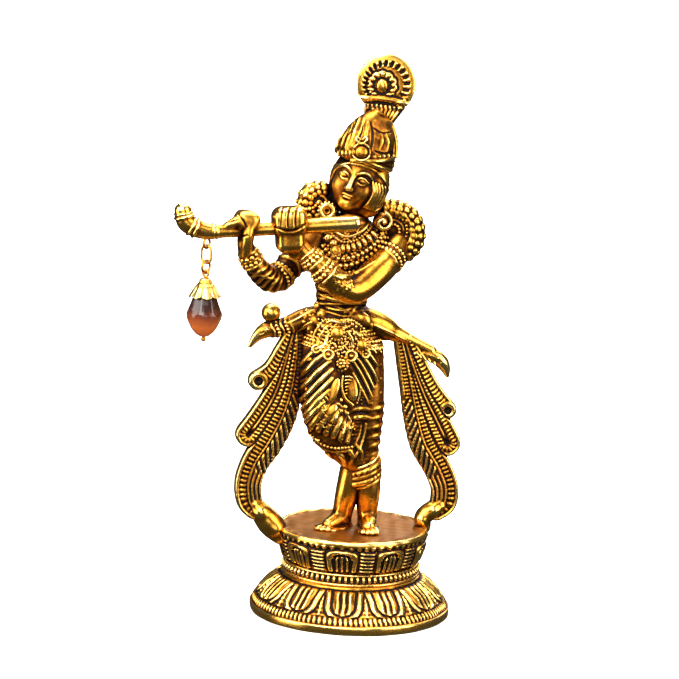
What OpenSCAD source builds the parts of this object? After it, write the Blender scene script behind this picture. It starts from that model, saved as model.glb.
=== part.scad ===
// Cast metal statuette of a flute player between two peacocks, on a lotus pedestal, with a bead drop hung
// from the flute. Millimetres. The origin is the centre of the pedestal's underside, +Z is up and the figure
// faces -Y. Right and left are the figure's own, so its right side is at -X.

/* [Pedestal] */
// Diameter of the rim that the statuette stands on
rim_d = 72; // [68:1:76]
// Height from the underside to the plate that the feet stand on
pedestal_h = 31; // [30:0.5:32]
// Outside diameter of the upper lotus at its lip
lip_d = 54.6; // [54:0.2:56]
// Casting wall
wall = 2; // [1.6:0.1:2.4]
// Petals round the lower lotus
lower_petals = 12; // [8:1:16]
// Petals round the upper lotus
upper_petals = 8; // [6:1:12]
// Beads round the waist
waist_beads = 36; // [24:2:40]

/* [Figure] */
// Height of the waist above the underside
waist_z = 113; // [112:0.5:114]
// Height of the shoulder joints
shoulder_z = 134; // [133:0.5:135]
// Height of the middle of the head
head_z = 156; // [155:0.5:157]
// How far the head and crown lean to the figure's left
head_lean = 18; // [14:1:20]
// Diameter of the feather disc on the crown
plume_d = 21; // [19:0.5:22]

/* [Flute] */
// Diameter of the flute between the hands
flute_d = 4.8; // [4.4:0.2:5.4]
// How far the flute is in front of the figure's axis
flute_y = 16; // [15.5:0.1:16.5]

/* [Bead drop] */
// Wire of the eyelet, link and ring
wire_d = 0.9; // [0.7:0.05:0.95]
// Play between one wire and the next
play = 0.05; // [0.02:0.01:0.08]
// Largest diameter of the bead
bead_d = 12.6; // [11:0.2:13]
// Height of the bead
bead_h = 17.6; // [16:0.2:18]

/* [Hidden] */

gold = [0.83, 0.62, 0.18];
dark_gold = [0.55, 0.36, 0.12];
amber = [0.62, 0.2, 0.06];

facets = 14;                 // sides of the balls that strands are hulled from
turn_facets = 72;            // sides of turned shapes in a preview
seam_z = pedestal_h * 0.47;  // where the lower lotus meets the bead ring
bowl_z = pedestal_h * 0.61;  // where the bead ring meets the upper lotus
waist_r = 24;                // pedestal's radius at the bead ring
plate_t = 2;
plate_r = lip_d / 2 - wall;
bead_r = 1.15;
screw_r = 1.5;
screw_clearance = 0.1;
washer_t = 0.5;
right_heel = [-3.9, -1.5];
left_heel = [4.8, -3];
tail_depth = 2.3;            // half the thickness of the peacock tails

wire_r = wire_d / 2;
drop_x = -58.6;
eyelet_r = 1.7;              // centreline radius of the eyelet
eyelet_z = 134.6;
link_l = 6.2;                // centreline length of the link
link_r = 2.05;               // centreline radius of its ends
ring_r = 2.2;
eye_r = 1.1;                 // centreline radius of the head pin's eye
step = wire_d + play;        // from one wire's centre to the next, where they hang in each other
hook_z = eyelet_z - eyelet_r;
link_top = hook_z + step;
link_low = link_top - link_l;
ring_top = link_low + step;
ring_low = ring_top - 2 * ring_r;
eye_top = ring_low + step;
eye_low = eye_top - 2 * eye_r;
pin_r = 0.42;
bead_hole_r = 0.5;
bead_top = 119.6;
bead_low = bead_top - bead_h;
cap_t = 0.5;
cap_r = 5.5;
cap_top = 122.4;

// ---------- shapes that repeat ----------

// A smooth curve through every knot, whatever a knot holds, with a few steps between each two.
function curve_at(a, b, c, d, t) =
    0.5 * (2 * b + (c - a) * t + (2 * a - 5 * b + 4 * c - d) * t * t + (3 * b - a - 3 * c + d) * t * t * t);
function smooth(knots, steps) = concat([for (i = [0:len(knots) - 2]) for (j = [0:steps - 1])
    curve_at(knots[max(i - 1, 0)], knots[i], knots[i + 1], knots[min(i + 2, len(knots) - 1)], j / steps)],
    [knots[len(knots) - 1]]);

// Knots of a round strand, [x, y, z, radius], as knots with three radii.
function round_knots(knots) = [for (k = knots) [k[0], k[1], k[2], k[3], k[3], k[3]]];

// An ellipsoid from a knot [x, y, z, x radius, y radius, z radius].
module ball(k) {
    translate([k[0], k[1], k[2]]) scale([k[3], k[4], k[5]]) sphere(r = 1, $fn = facets);
}

// A soft strand through knots.
module strand(knots, steps = 4) {
    s = smooth(knots, steps);
    for (i = [0:len(s) - 2]) hull() {
        ball(s[i]);
        ball(s[i + 1]);
    }
}

// A ring of round wire that stands upright, with its axis horizontal.
module wire_ring(r, wire) {
    rotate([90, 0, 0]) rotate_extrude($fn = turn_facets) translate([r, 0]) circle(r = wire, $fn = 24);
}

// Everything in here hangs under the flute, on the drop's own axis.
module on_drop(z, turn) {
    translate([drop_x, -flute_y, z]) rotate([0, 0, turn]) children();
}

// What leans with the head.
module on_head() {
    translate([-4.2, -3, head_z]) rotate([0, head_lean, 0]) children();
}

// Grooves that part the petals of a turned lotus, cut along its slope from [r, z] to [r, z].
module grooves(count, low, high, r) {
    slope = atan2(high[0] - low[0], high[1] - low[1]);
    for (i = [0:count - 1]) rotate([0, 0, (i + 0.5) * 360 / count - 90 + 180 / count])
        translate([low[0], 0, low[1]]) rotate([0, slope, 0]) translate([0, 0, -1])
            cylinder(r = r, h = norm(high - low) + 2, $fn = 24);
}

// ---------- pedestal ----------

module pedestal_base() {
    rim_r = rim_d / 2;
    flare = [[rim_r, 0], [rim_r, 2.6], [rim_r - 1.4, 3.4], [rim_r - 2.6, 5.6], [rim_r - 6, 9.5],
        [waist_r + 1.6, seam_z - 1.6], [waist_r, seam_z]];
    last = len(flare) - 1;
    drop = [for (i = [0:last]) i == 0 || i == last ? 0 : 0.8];
    inside = [for (i = [last:-1:0]) [flare[i][0] - wall - 0.4, flare[i][1] - drop[i]]];
    color(gold) difference() {
        rotate_extrude($fn = turn_facets) polygon(concat(flare, inside));
        grooves(lower_petals, [rim_r - 2.4, 5.8], [waist_r + 2, seam_z - 1.4], 0.7);
    }
}

module bead_ring() {
    color(gold) union() {
        rotate_extrude($fn = turn_facets) polygon([[waist_r - 3, seam_z], [waist_r - 0.4, seam_z],
            [waist_r - 0.4, bowl_z], [waist_r - 3, bowl_z]]);
        for (i = [0:waist_beads - 1]) rotate([0, 0, i * 360 / waist_beads])
            translate([waist_r, 0, (seam_z + bowl_z) / 2]) sphere(r = bead_r, $fn = 24);
    }
}

module pedestal_bowl() {
    lip_r = lip_d / 2;
    ledge_z = pedestal_h - plate_t;
    color(gold) difference() {
        rotate_extrude($fn = turn_facets) polygon([[waist_r - 1, bowl_z], [waist_r + 0.4, bowl_z + 3],
            [waist_r + 1.6, bowl_z + 7], [lip_r, ledge_z - 1], [lip_r, pedestal_h], [plate_r, pedestal_h],
            [plate_r, ledge_z], [plate_r - 2, ledge_z], [waist_r - wall - 1, bowl_z]]);
        grooves(upper_petals, [waist_r - 0.4, bowl_z], [waist_r + 2.9, ledge_z - 2], 0.8);
    }
}

module foot_plate() {
    color(dark_gold) difference() {
        translate([0, 0, pedestal_h - plate_t]) cylinder(r = plate_r, h = plate_t, $fn = turn_facets);
        for (p = [right_heel, left_heel]) translate([p[0], p[1], pedestal_h - plate_t - 1])
            cylinder(r = screw_r + screw_clearance, h = plate_t + 2, $fn = 24);
    }
}

module fixing_screws() {
    seat = pedestal_h - plate_t - washer_t;
    color("silver") for (p = [right_heel, left_heel]) translate([p[0], p[1], seat]) {
        cylinder(r = screw_r, h = 8, $fn = 24);
        translate([0, 0, -2]) difference() {
            cylinder(r = 2.75, h = 2, $fn = 32);
            translate([0, 0, -0.1]) cylinder(r = 1.45, h = 1.3, $fn = 6);
        }
    }
}

module fixing_washers() {
    color("silver") for (p = [right_heel, left_heel])
        translate([p[0], p[1], pedestal_h - plate_t - washer_t]) difference() {
            cylinder(r = 3.5, h = washer_t, $fn = 32);
            translate([0, 0, -1]) cylinder(r = screw_r + screw_clearance, h = washer_t + 2, $fn = 24);
        }
}

// ---------- legs and dress ----------

// A shin with its foot, whose sole is flat on the plate, and the hole that its fixing screw goes into.
module leg(shin, foot, heel) {
    color(gold) difference() {
        union() {
            strand(round_knots(shin));
            strand(round_knots(foot), 3);
        }
        translate([-40, -40, 0]) cube([80, 80, pedestal_h]);
        translate([heel[0], heel[1], 0]) cylinder(r = screw_r + screw_clearance, h = pedestal_h + 6, $fn = 24);
    }
}

module right_leg() {
    z = pedestal_h;
    leg([[-0.4, -2.5, z + 22, 4], [-2.8, -2.5, z + 13, 3.4], [-3.8, -1.6, z + 5.5, 2.8], [-4, -1, z + 2, 2.4]],
        [[-3.6, 0, z + 1.9, 2.3], [-8, -4, z + 2, 2.5], [-13, -7.6, z + 1, 1.6]], right_heel);
}

module left_leg() {
    z = pedestal_h;
    leg([[3.2, -3, z + 23, 4.2], [4.2, -4, z + 15, 3.8], [4.4, -3.6, z + 7, 3], [4.8, -2.8, z + 2, 2.6]],
        [[4.8, -2, z + 1.9, 2.4], [4.2, -8, z + 2, 2.6], [3.2, -13, z + 1, 1.8]], left_heel);
}

module hem_band() {
    color(gold) translate([1.6, -3, 53.6]) rotate([8, -24, 0]) rotate_extrude($fn = turn_facets)
        translate([6.2, 0]) circle(r = 1.2, $fn = 24);
}

module dhoti() {
    color(gold) strand([[-7.6, 0, waist_z - 3, 10, 7.2, 2.5], [-7.6, 0, waist_z - 8, 12.8, 8.8, 4],
        [-7.2, 0, waist_z - 17, 15.2, 9.6, 5], [-7, -0.5, 85, 14.8, 9.8, 5], [-6.4, -1, 74, 14, 9.8, 5],
        [-5.2, -1.5, 66, 12.2, 9, 4], [-2.4, -2, 59.5, 8.8, 7.8, 3], [0.6, -2.5, 54, 6, 6.2, 2.5]], 2);
}

module front_sash() {
    color(gold) strand([[-4.8, -9.6, 90, 4.2, 1.8, 2], [-4.6, -10.6, 82, 5, 1.8, 2],
        [-4.2, -11, 72, 5, 1.8, 2], [-3, -10.4, 63, 4, 1.8, 2]], 3);
}

module waist_belt() {
    belt_r = [14, 9.4];
    color(gold) translate([-7.4, 0, 101]) rotate([9, 0, 0]) scale([belt_r[0] / belt_r[1], 1, 1])
        rotate_extrude($fn = turn_facets)
            translate([belt_r[1], 0]) scale([1, 1.6]) circle(r = 1.5, $fn = 24);
}

module belt_buckle() {
    color(gold) for (p = [[-4.8, 92, 3.6], [-11.5, 93.5, 2.8], [1.8, 93.5, 2.8]])
        translate([p[0], -9, p[1]]) rotate([90, 0, 0]) cylinder(r = p[2], h = 2.6, $fn = 32);
}

// ---------- trunk and arms ----------

module torso() {
    color(gold) strand([[-7.6, 0, waist_z - 3, 9, 6.2, 2], [-7.6, 0, waist_z + 3, 9.2, 6.4, 2.5],
        [-7.2, 0, shoulder_z - 12, 10.8, 7.2, 3], [-5.6, 0, shoulder_z - 6, 13, 8, 3.5],
        [-4.4, 0, shoulder_z, 14.5, 7.4, 3.5], [-4.6, -0.6, shoulder_z + 4.5, 8, 6, 2.5],
        [-5.2, -1.4, shoulder_z + 9.5, 4.8, 4.8, 2]], 2);
}

module collar_necklace() {
    color(gold) translate([-5, -1.4, shoulder_z + 3.4]) rotate([14, -4, 0]) rotate_extrude($fn = turn_facets)
        translate([9.2, 0]) circle(r = 1.7, $fn = 24);
}

module long_necklace() {
    color(gold) strand([for (a = [180:20:360]) [-5 + 12.4 * cos(a), -7.6 + 0.9 * sin(a),
        shoulder_z + 1.5 + 11.5 * sin(a), 1.4, 1.4, 1.4]], 1);
}

module right_arm() {
    color(gold) strand(round_knots([[-18.5, 0.5, shoulder_z, 5.2], [-27, -4.5, 126, 4.8],
        [-33.6, -9.5, 121.2, 4.3], [-39.6, -13, 125, 3.8], [-43.6, -15, 130.5, 3.2],
        [-45.4, -15.4, 134.6, 3]]), 3);
}

module left_arm() {
    color(gold) strand(round_knots([[11, 0, shoulder_z - 1.5, 5.6], [4, -8, 125.5, 5.2],
        [-6.6, -14.6, 118.6, 4.8], [-15, -17, 123.5, 4.2], [-22, -16.6, 130, 3.4],
        [-27, -15.6, 135.4, 3.2]]), 3);
}

// A fist closed round the flute: a palm, and four fingers that lie over it.
module fist(at, size, fingers) {
    color(gold) translate(at) union() {
        strand(round_knots([[-size[0] * 0.2, 1, -size[2] * 0.34, size[0] * 0.28],
            [0, 1.4, 0, size[0] * 0.36], [size[0] * 0.12, 1, size[2] * 0.3, size[0] * 0.34]]), 2);
        for (i = [0:fingers - 1]) strand(round_knots([
            [(i / (fingers - 1) - 0.5) * size[0] * 0.76, -size[1] * 0.1, size[2] * 0.32, 1.5],
            [(i / (fingers - 1) - 0.5) * size[0] * 0.76, -size[1] * 0.38, 0, 1.6],
            [(i / (fingers - 1) - 0.5) * size[0] * 0.76, -size[1] * 0.1, -size[2] * 0.3, 1.4]]), 2);
    }
}

module right_hand() {
    fist([-46.6, -flute_y + 0.4, 138.6], [11.5, 11, 13], 4);
}

module left_hand() {
    fist([-30.2, -flute_y + 0.4, 140], [11.6, 12, 15], 4);
}

// A band round a wrist, whose axis runs along the forearm.
module bangle(at, turn, r) {
    color(gold) translate(at) rotate(turn) rotate_extrude($fn = turn_facets)
        translate([r, 0]) circle(r = 1.1, $fn = 24);
}

module right_bangle() {
    bangle([-42.6, -14.5, 129], [-18, -32, 0], 3.7);
}

module left_bangle() {
    bangle([-21.6, -16.6, 129.6], [0, -44, 0], 3.9);
}

// ---------- head ----------

module head() {
    color(gold) on_head() strand([[-0.4, -5.6, -9.6, 4, 3.6, 2.6], [0, -3.2, -7, 6.8, 7, 3.6],
        [0, -1.6, -2, 8.8, 9.2, 5], [0, -1.4, 4, 9.4, 9.8, 5.4], [0, -0.8, 7, 8.8, 9.2, 4]], 2);
}

module hair() {
    color(dark_gold) difference() {
        on_head() strand([[1, 4, -10, 9, 5, 3], [0.6, 4, -5, 10.6, 6.6, 4], [0.4, 3.4, 0, 11, 7.4, 5],
            [0.4, 3, 5, 10.8, 7.6, 4]], 3);
        head();
    }
}

module crown() {
    color(gold) on_head() translate([-0.4, 0.6, 7]) rotate_extrude($fn = turn_facets)
        polygon([[0, -1], [10.4, -1], [11, 0.4], [10.8, 2.4], [10.3, 5], [9, 9.4], [7, 13], [4.8, 16],
            [3, 17.4], [0, 17.4]]);
}

module crown_boss() {
    color(gold) on_head() translate([-3, -7.4, 10]) rotate([98, 0, -18])
        cylinder(r1 = 4.2, r2 = 2.6, h = 4.2, $fn = 32);
}

module plume() {
    disc_r = plume_d / 2;
    color(gold) translate([4.8, -0.5, 200 - disc_r]) rotate([90, 0, -8]) union() {
        cylinder(r = disc_r, h = 5, $fn = turn_facets, center = true);
        rotate([0, 0, -7]) translate([0, 0, -2]) linear_extrude(4)
            polygon([[-8, 3 - disc_r], [8, 3 - disc_r], [5.4, -4.4 - disc_r], [-5.4, -4.4 - disc_r]]);
    }
}

module earring(at) {
    color(gold) translate(at) rotate([90, 0, 0]) cylinder(r = 2.9, h = 7, center = true, $fn = 32);
}

module right_earring() {
    earring([-15.6, -5.5, 145.4]);
}

module left_earring() {
    earring([4.6, -5.6, 141.6]);
}

module right_epaulette() {
    color(gold) strand([[-13.4, 0, 144, 3, 3.4, 3], [-17.5, 0, 143.6, 3.6, 4, 4], [-21.5, 0, 146, 4.2, 4, 5],
        [-19.8, 0, 150.6, 5, 3.4, 4.4]], 3);
}

module left_epaulette() {
    color(gold) strand([[8.4, 0, 145.4, 3.6, 3.6, 3.6], [14, 0, 143, 5.2, 4.4, 4.8],
        [16.6, -0.5, 137.6, 5.2, 4.6, 5], [14.6, -1.5, 132.4, 4.8, 4.4, 3.6]], 3);
}

// ---------- peacocks ----------

module right_peacock() {
    color(gold) union() {
        strand(round_knots([[-17, 0, 105, 3.8], [-22, 0, 104.4, 3.6], [-28, 0, 103, 3.2], [-33.6, 0, 102, 3.1],
            [-37.4, 0, 99.4, 2.3], [-39.6, 0, 96.2, 1.1]]), 3);
        translate([-32.6, 0, 108.2]) sphere(r = 3.5, $fn = 24);
    }
}

module left_peacock() {
    color(gold) strand(round_knots([[1.5, 0, 104, 4.8], [7, 0, 102.8, 4.2], [12, 0, 101.2, 2.8],
        [19, 0, 98, 2.3], [25.4, 0, 94.8, 2.4], [29.2, 0, 91.6, 2.7], [31.2, 0, 88.6, 1.9],
        [32, 0, 86, 0.9]]), 3);
}

// A flat plume that follows knots [x, z, half width] and ends round.
module plume_band(knots, steps = 2) {
    s = smooth(knots, steps);
    for (i = [0:len(s) - 2]) hull() for (k = [s[i], s[i + 1]])
        translate([k[0], 0, k[1]]) rotate([90, 0, 0])
            cylinder(r = k[2], h = 2 * tail_depth, center = true, $fn = 20);
}

// Three plumes side by side in one plate, each [x, z, half width].
module tail(long, middle, short) {
    color(gold) union() {
        plume_band(long);
        plume_band(middle);
        plume_band(short);
    }
}

module right_tail() {
    tail([[-23.2, 102, 2.4], [-23.2, 91, 3.2], [-24.4, 81, 4], [-27.2, 71, 5], [-31.6, 62, 5.4], [-36.4, 54, 5],
            [-38.6, 47, 4.8], [-38, 40.6, 4.6], [-36, 37, 3.6]],
        [[-24.6, 102, 2.2], [-27, 91, 3.2], [-30, 80, 4], [-34.6, 71, 4.6], [-39.2, 64.4, 4.6]],
        [[-25, 102, 2], [-28, 95, 2.8], [-31.6, 88, 3.2], [-36.4, 83.8, 3.6]]);
}

module left_tail() {
    tail([[14, 100, 2.4], [16.4, 91, 3.2], [18.8, 81, 3.8], [21.2, 71, 4.4], [24.6, 61, 5], [29.6, 53, 5],
            [32.8, 46, 4.9], [33, 40, 4.8], [30.4, 36.4, 3.6]],
        [[15, 100, 2], [18.8, 90, 3.2], [23.6, 79, 4.2], [29, 69, 4.8], [33, 61.6, 5]],
        [[17, 99, 2], [21.6, 90, 2.8], [26.6, 81, 3.2], [32.4, 73.6, 3.5]]);
}

// The plain foot of a tail, soldered to the side of the pedestal.
module right_tail_foot() {
    color(gold) strand(round_knots([[-35, 0, 38.4, 3.4], [-32.4, 0, 34.6, 4], [-29, 0, 30.6, 4.4],
        [-26, 0, 27.4, 3.2]]), 3);
}

module left_tail_foot() {
    color(gold) strand(round_knots([[31, 0, 38, 3.2], [28, 0, 36, 3.5], [25.4, 0, 33.6, 3.3],
        [26, 0, 30, 2.8]]), 3);
}

// ---------- flute and bead drop ----------

module flute() {
    r = flute_d / 2;
    color(gold) strand(round_knots([[-7.4, -flute_y, 142.4, r + 0.5], [-20, -flute_y, 141.4, r + 0.4],
        [-38, -flute_y, 139.8, r], [-53, -flute_y, 138.8, r], [-60, -flute_y, 139, r + 0.8],
        [-65.6, -flute_y, 141.4, r + 1], [-67.2, -flute_y, 145.6, r + 0.6]]), 3);
}

module eyelet() {
    color(gold) on_drop(eyelet_z, 45) wire_ring(eyelet_r, wire_r);
}

module link() {
    half = (link_l - 2 * link_r) / 2;
    color(gold) on_drop((link_top + link_low) / 2, -45) union() {
        for (side = [-1, 1]) {
            translate([0, 0, side * half]) rotate([90, side * 90 - 90, 0])
                rotate_extrude(angle = 180, $fn = turn_facets)
                    translate([link_r, 0]) circle(r = wire_r, $fn = 24);
            translate([side * link_r, 0, -half]) cylinder(r = wire_r, h = 2 * half, $fn = 24);
        }
    }
}

module ring() {
    color(gold) on_drop((ring_top + ring_low) / 2, 45) wire_ring(ring_r, wire_r);
}

module head_pin() {
    color(gold) on_drop(0, -45) union() {
        translate([0, 0, eye_low + eye_r]) wire_ring(eye_r, wire_r);
        translate([0, 0, bead_low - 0.6]) cylinder(r = pin_r, h = eye_low - bead_low + 0.6, $fn = 24);
        translate([0, 0, bead_low - 0.8]) sphere(r = 0.9, $fn = 24);
    }
}

module bead_cap() {
    profile = [[bead_hole_r, cap_top], [1.7, cap_top], [2, cap_top - 0.8], [3.4, cap_top - 3.2],
        [cap_r, cap_top - 6.4], [cap_r - cap_t, cap_top - 6.4], [3.1, cap_top - 3.8],
        [bead_hole_r, cap_top - 2.6]];
    color(gold) on_drop(0, 0) rotate_extrude($fn = turn_facets) polygon(profile);
}

module bead() {
    r = bead_d / 2;
    profile = [[bead_hole_r, bead_top - 0.3], [2, bead_top - 1.2], [4.1, bead_top - 3.2], [5.1, bead_top - 6],
        [r, bead_top - bead_h * 0.53], [r * 0.9, bead_top - bead_h * 0.7], [r * 0.6, bead_top - bead_h * 0.88],
        [r * 0.3, bead_low + 0.4], [bead_hole_r, bead_low]];
    color(amber) on_drop(0, 0) rotate_extrude($fn = turn_facets) polygon(profile);
}

pedestal_base();
bead_ring();
pedestal_bowl();
foot_plate();
fixing_screws();
fixing_washers();
right_leg();
left_leg();
hem_band();
dhoti();
front_sash();
waist_belt();
belt_buckle();
torso();
collar_necklace();
long_necklace();
right_arm();
right_hand();
right_bangle();
left_arm();
left_hand();
left_bangle();
head();
hair();
crown();
crown_boss();
plume();
right_earring();
left_earring();
right_epaulette();
left_epaulette();
right_peacock();
right_tail();
right_tail_foot();
left_peacock();
left_tail();
left_tail_foot();
flute();
eyelet();
link();
ring();
head_pin();
bead_cap();
bead();
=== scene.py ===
import math
import bpy
import numpy as np
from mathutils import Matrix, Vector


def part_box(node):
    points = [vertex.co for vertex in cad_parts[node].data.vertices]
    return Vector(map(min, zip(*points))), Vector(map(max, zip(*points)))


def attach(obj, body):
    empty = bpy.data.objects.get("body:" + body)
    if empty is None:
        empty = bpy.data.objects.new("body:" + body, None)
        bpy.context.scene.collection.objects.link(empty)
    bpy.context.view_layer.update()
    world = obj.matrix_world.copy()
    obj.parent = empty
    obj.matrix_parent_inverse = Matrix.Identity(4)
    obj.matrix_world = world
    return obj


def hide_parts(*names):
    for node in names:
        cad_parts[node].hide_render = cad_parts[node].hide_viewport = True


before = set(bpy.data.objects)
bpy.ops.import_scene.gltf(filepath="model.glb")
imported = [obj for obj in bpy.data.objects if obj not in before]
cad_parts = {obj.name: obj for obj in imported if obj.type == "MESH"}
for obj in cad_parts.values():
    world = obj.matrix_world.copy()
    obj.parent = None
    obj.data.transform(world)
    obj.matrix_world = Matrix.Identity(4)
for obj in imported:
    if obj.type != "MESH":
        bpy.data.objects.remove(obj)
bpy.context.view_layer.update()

import openvdb as vdb
from mathutils import Matrix, Vector

# Everything below is sculpted in millimetres, in the row frame, and scaled to metres when it is meshed.
MM = 0.001
FAR = 1.5                # the field is only kept this close to the surface
rng = np.random.default_rng(7)


def A(*v):
    return np.array(v, float)


def smin(a, b, k):
    h = np.clip(0.5 + 0.5 * (b - a) / k, 0, 1)
    return b + (a - b) * h - k * h * (1 - h)


def curve(knots, steps=6):
    """A smooth curve through knots of any width."""
    K = np.array(knots, float)
    out = []
    for i in range(len(K) - 1):
        a, b, c, d = K[max(i - 1, 0)], K[i], K[i + 1], K[min(i + 2, len(K) - 1)]
        for t in np.linspace(0, 1, steps, endpoint=False):
            out.append(0.5 * (2*b + (c - a)*t + (2*a - 5*b + 4*c - d)*t*t + (3*b - a - 3*c + d)*t**3))
    out.append(K[-1])
    return np.array(out)


def spaced(points, gap):
    """Points a set distance apart along a line of points."""
    P = np.array(points, float)
    s = np.concatenate([[0], np.cumsum(np.linalg.norm(np.diff(P[:, :3], axis=0), axis=1))])
    n = max(int(round(s[-1] / gap)), 1)
    at = np.linspace(0, s[-1], n + 1)
    return np.stack([np.interp(at, s, P[:, i]) for i in range(P.shape[1])], axis=1)


def turn(ax, deg):
    return np.array(Matrix.Rotation(math.radians(deg), 3, ax))


class Clay:
    """A block of clay: a signed distance field on a grid."""

    def __init__(self, lo, hi, h=0.3):
        self.h = h
        self.lo = A(*lo) - 2.5 * h
        n = np.ceil((A(*hi) + 2.5 * h - self.lo) / h).astype(int) + 1
        self.d = np.full(n, FAR, np.float32)

    def window(self, lo, hi, pad):
        a = np.maximum(np.floor((lo - pad - self.lo) / self.h).astype(int), 0)
        b = np.minimum(np.ceil((hi + pad - self.lo) / self.h).astype(int) + 1, self.d.shape)
        if (b <= a).any():
            return None
        ax = [(self.lo[i] + self.h * np.arange(a[i], b[i])).astype(np.float32) for i in range(3)]
        return tuple(slice(a[i], b[i]) for i in range(3)), ax[0][:, None, None], ax[1][None, :, None], ax[2][None, None, :]

    def blend(self, sl, b, k, cut):
        a = self.d[sl]
        self.d[sl] = -smin(-a, b, k) if cut else smin(a, b, k)

    def shape(self, f, lo, hi, k=0.3, cut=False):
        w = self.window(A(*lo), A(*hi), FAR + k)
        if w:
            self.blend(w[0], f(*w[1:]), k, cut)

    def ball(self, c, r, k=0.25, cut=False):
        c = A(*c[:3])
        self.shape(lambda x, y, z: np.sqrt((x-c[0])**2 + (y-c[1])**2 + (z-c[2])**2) - r, c - r, c + r, k, cut)

    def ell(self, c, r, R=None, k=0.25, cut=False):
        """An ellipsoid, turned by R."""
        c, r = A(*c[:3]), A(*r)
        R = np.eye(3) if R is None else R
        m = float(r.max())

        def f(x, y, z):
            X, Y, Z = x - c[0], y - c[1], z - c[2]
            q = [(R[0, i]*X + R[1, i]*Y + R[2, i]*Z) / r[i] for i in range(3)]
            k0 = np.sqrt(q[0]**2 + q[1]**2 + q[2]**2)
            k1 = np.sqrt((q[0]/r[0])**2 + (q[1]/r[1])**2 + (q[2]/r[2])**2) + 1e-6
            return k0 * (k0 - 1) / k1
        self.shape(f, c - m, c + m, k, cut)

    def chain(self, P, k=0.3, cut=False, power=None):
        """A strand through points [x, y, z, r] or [x, y, z, rx, ry, rz]."""
        P = np.array(P, float)
        rad = P[:, 3:]
        w = self.window(P[:, :3].min(0) - rad.max(), P[:, :3].max(0) + rad.max(), FAR + k)
        if not w:
            return
        sl = w[0]
        off = [s.start for s in sl]
        tmp = np.full([s.stop - s.start for s in sl], FAR + 2*k, np.float32)
        for p, q in zip(P[:-1], P[1:]):
            m = max(p[3:].max(), q[3:].max())
            v = self.window(np.minimum(p[:3], q[:3]) - m, np.maximum(p[:3], q[:3]) + m, FAR + k)
            if not v:
                continue
            loc = tuple(slice(s.start - o, s.stop - o) for s, o in zip(v[0], off))
            x, y, z = v[1:]
            e = q[:3] - p[:3]
            t = np.clip(((x-p[0])*e[0] + (y-p[1])*e[1] + (z-p[2])*e[2]) / (e @ e + 1e-9), 0, 1)
            dx, dy, dz = x - p[0] - t*e[0], y - p[1] - t*e[1], z - p[2] - t*e[2]
            if P.shape[1] == 4:
                g = np.sqrt(dx*dx + dy*dy + dz*dz) - (p[3] + (q[3]-p[3])*t)
            else:
                r = [p[3+i] + (q[3+i]-p[3+i])*t for i in range(3)]
                a, b, c = dx/r[0], dy/r[1], dz/r[2]
                k0 = np.sqrt(a*a + b*b + c*c)
                g = k0*(k0-1) / (np.sqrt((a/r[0])**2 + (b/r[1])**2 + (c/r[2])**2) + 1e-6)
            tmp[loc] = np.minimum(tmp[loc], g)
        self.blend(sl, tmp, k, cut)

    def line(self, knots, r, k=0.2, cut=False, steps=5):
        """A thin ridge or groove through points, tapered to its ends if r is a list."""
        P = curve([list(p[:3]) for p in knots], steps)
        rr = np.interp(np.linspace(0, 1, len(P)), np.linspace(0, 1, len(r)), r) if isinstance(r, (list, tuple)) else np.full(len(P), r)
        self.chain(np.column_stack([P, rr]), k, cut)

    def beads(self, points, r, gap=None, k=0.12):
        for p in spaced(points, gap or 2*r):
            self.ball(p, r, k)

    def soften(self, n=1):
        for _ in range(n):
            for ax in range(3):
                d = self.d
                a = np.concatenate([d.take([0], ax), d.take(range(d.shape[ax]-1), ax)], ax)
                b = np.concatenate([d.take(range(1, d.shape[ax]), ax), d.take([-1], ax)], ax)
                self.d = (a + 2*d + b) / 4

    def at(self, P, field=None):
        """The field at points."""
        D = self.d if field is None else field
        g = (np.asarray(P, float) - self.lo) / self.h
        i = np.clip(np.floor(g).astype(int), 0, np.array(D.shape) - 2)
        f = np.clip(g - i, 0, 1)
        out = 0
        for a in (0, 1):
            for b in (0, 1):
                for c in (0, 1):
                    w = (f[..., 0] if a else 1-f[..., 0]) * (f[..., 1] if b else 1-f[..., 1]) * (f[..., 2] if c else 1-f[..., 2])
                    out = out + w * D[i[..., 0]+a, i[..., 1]+b, i[..., 2]+c]
        return out

    def skin(self, c, way, reach=40.0, sink=0.0):
        """The outermost point of the clay on a ray from c."""
        way = A(*way) / np.linalg.norm(way)
        t = np.arange(0, reach, self.h * 0.5)
        inside = np.nonzero(self.at(A(*c) + t[:, None]*way) < 0)[0]
        s = t[inside[-1]] if len(inside) else 0
        return A(*c) + way * (s - sink)

    def wrap(self, pts, centre, sink=0.0):
        """Points on the skin, given as (degrees round from the front, height)."""
        out = []
        for a, z in pts:
            cx, cy = centre(z) if callable(centre) else centre
            r = math.radians(a)
            out.append(self.skin((cx, cy, z), (math.sin(r), -math.cos(r), 0), sink=sink))
        return np.array(out)


def box_blur(a, n):
    """A box blur of n cells each way."""
    for ax in range(3):
        p = [(0, 0)] * 3
        p[ax] = (n + 1, n)
        c = np.cumsum(np.pad(a, p, mode="edge"), axis=ax, dtype=np.float64)
        m = a.shape[ax]
        hi = np.take(c, range(2*n + 1, 2*n + 1 + m), ax)
        lo = np.take(c, range(0, m), ax)
        a = ((hi - lo) / (2*n + 1)).astype(np.float32)
    return a


# ---------- the camera, and drawing on what it sees ----------

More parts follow.
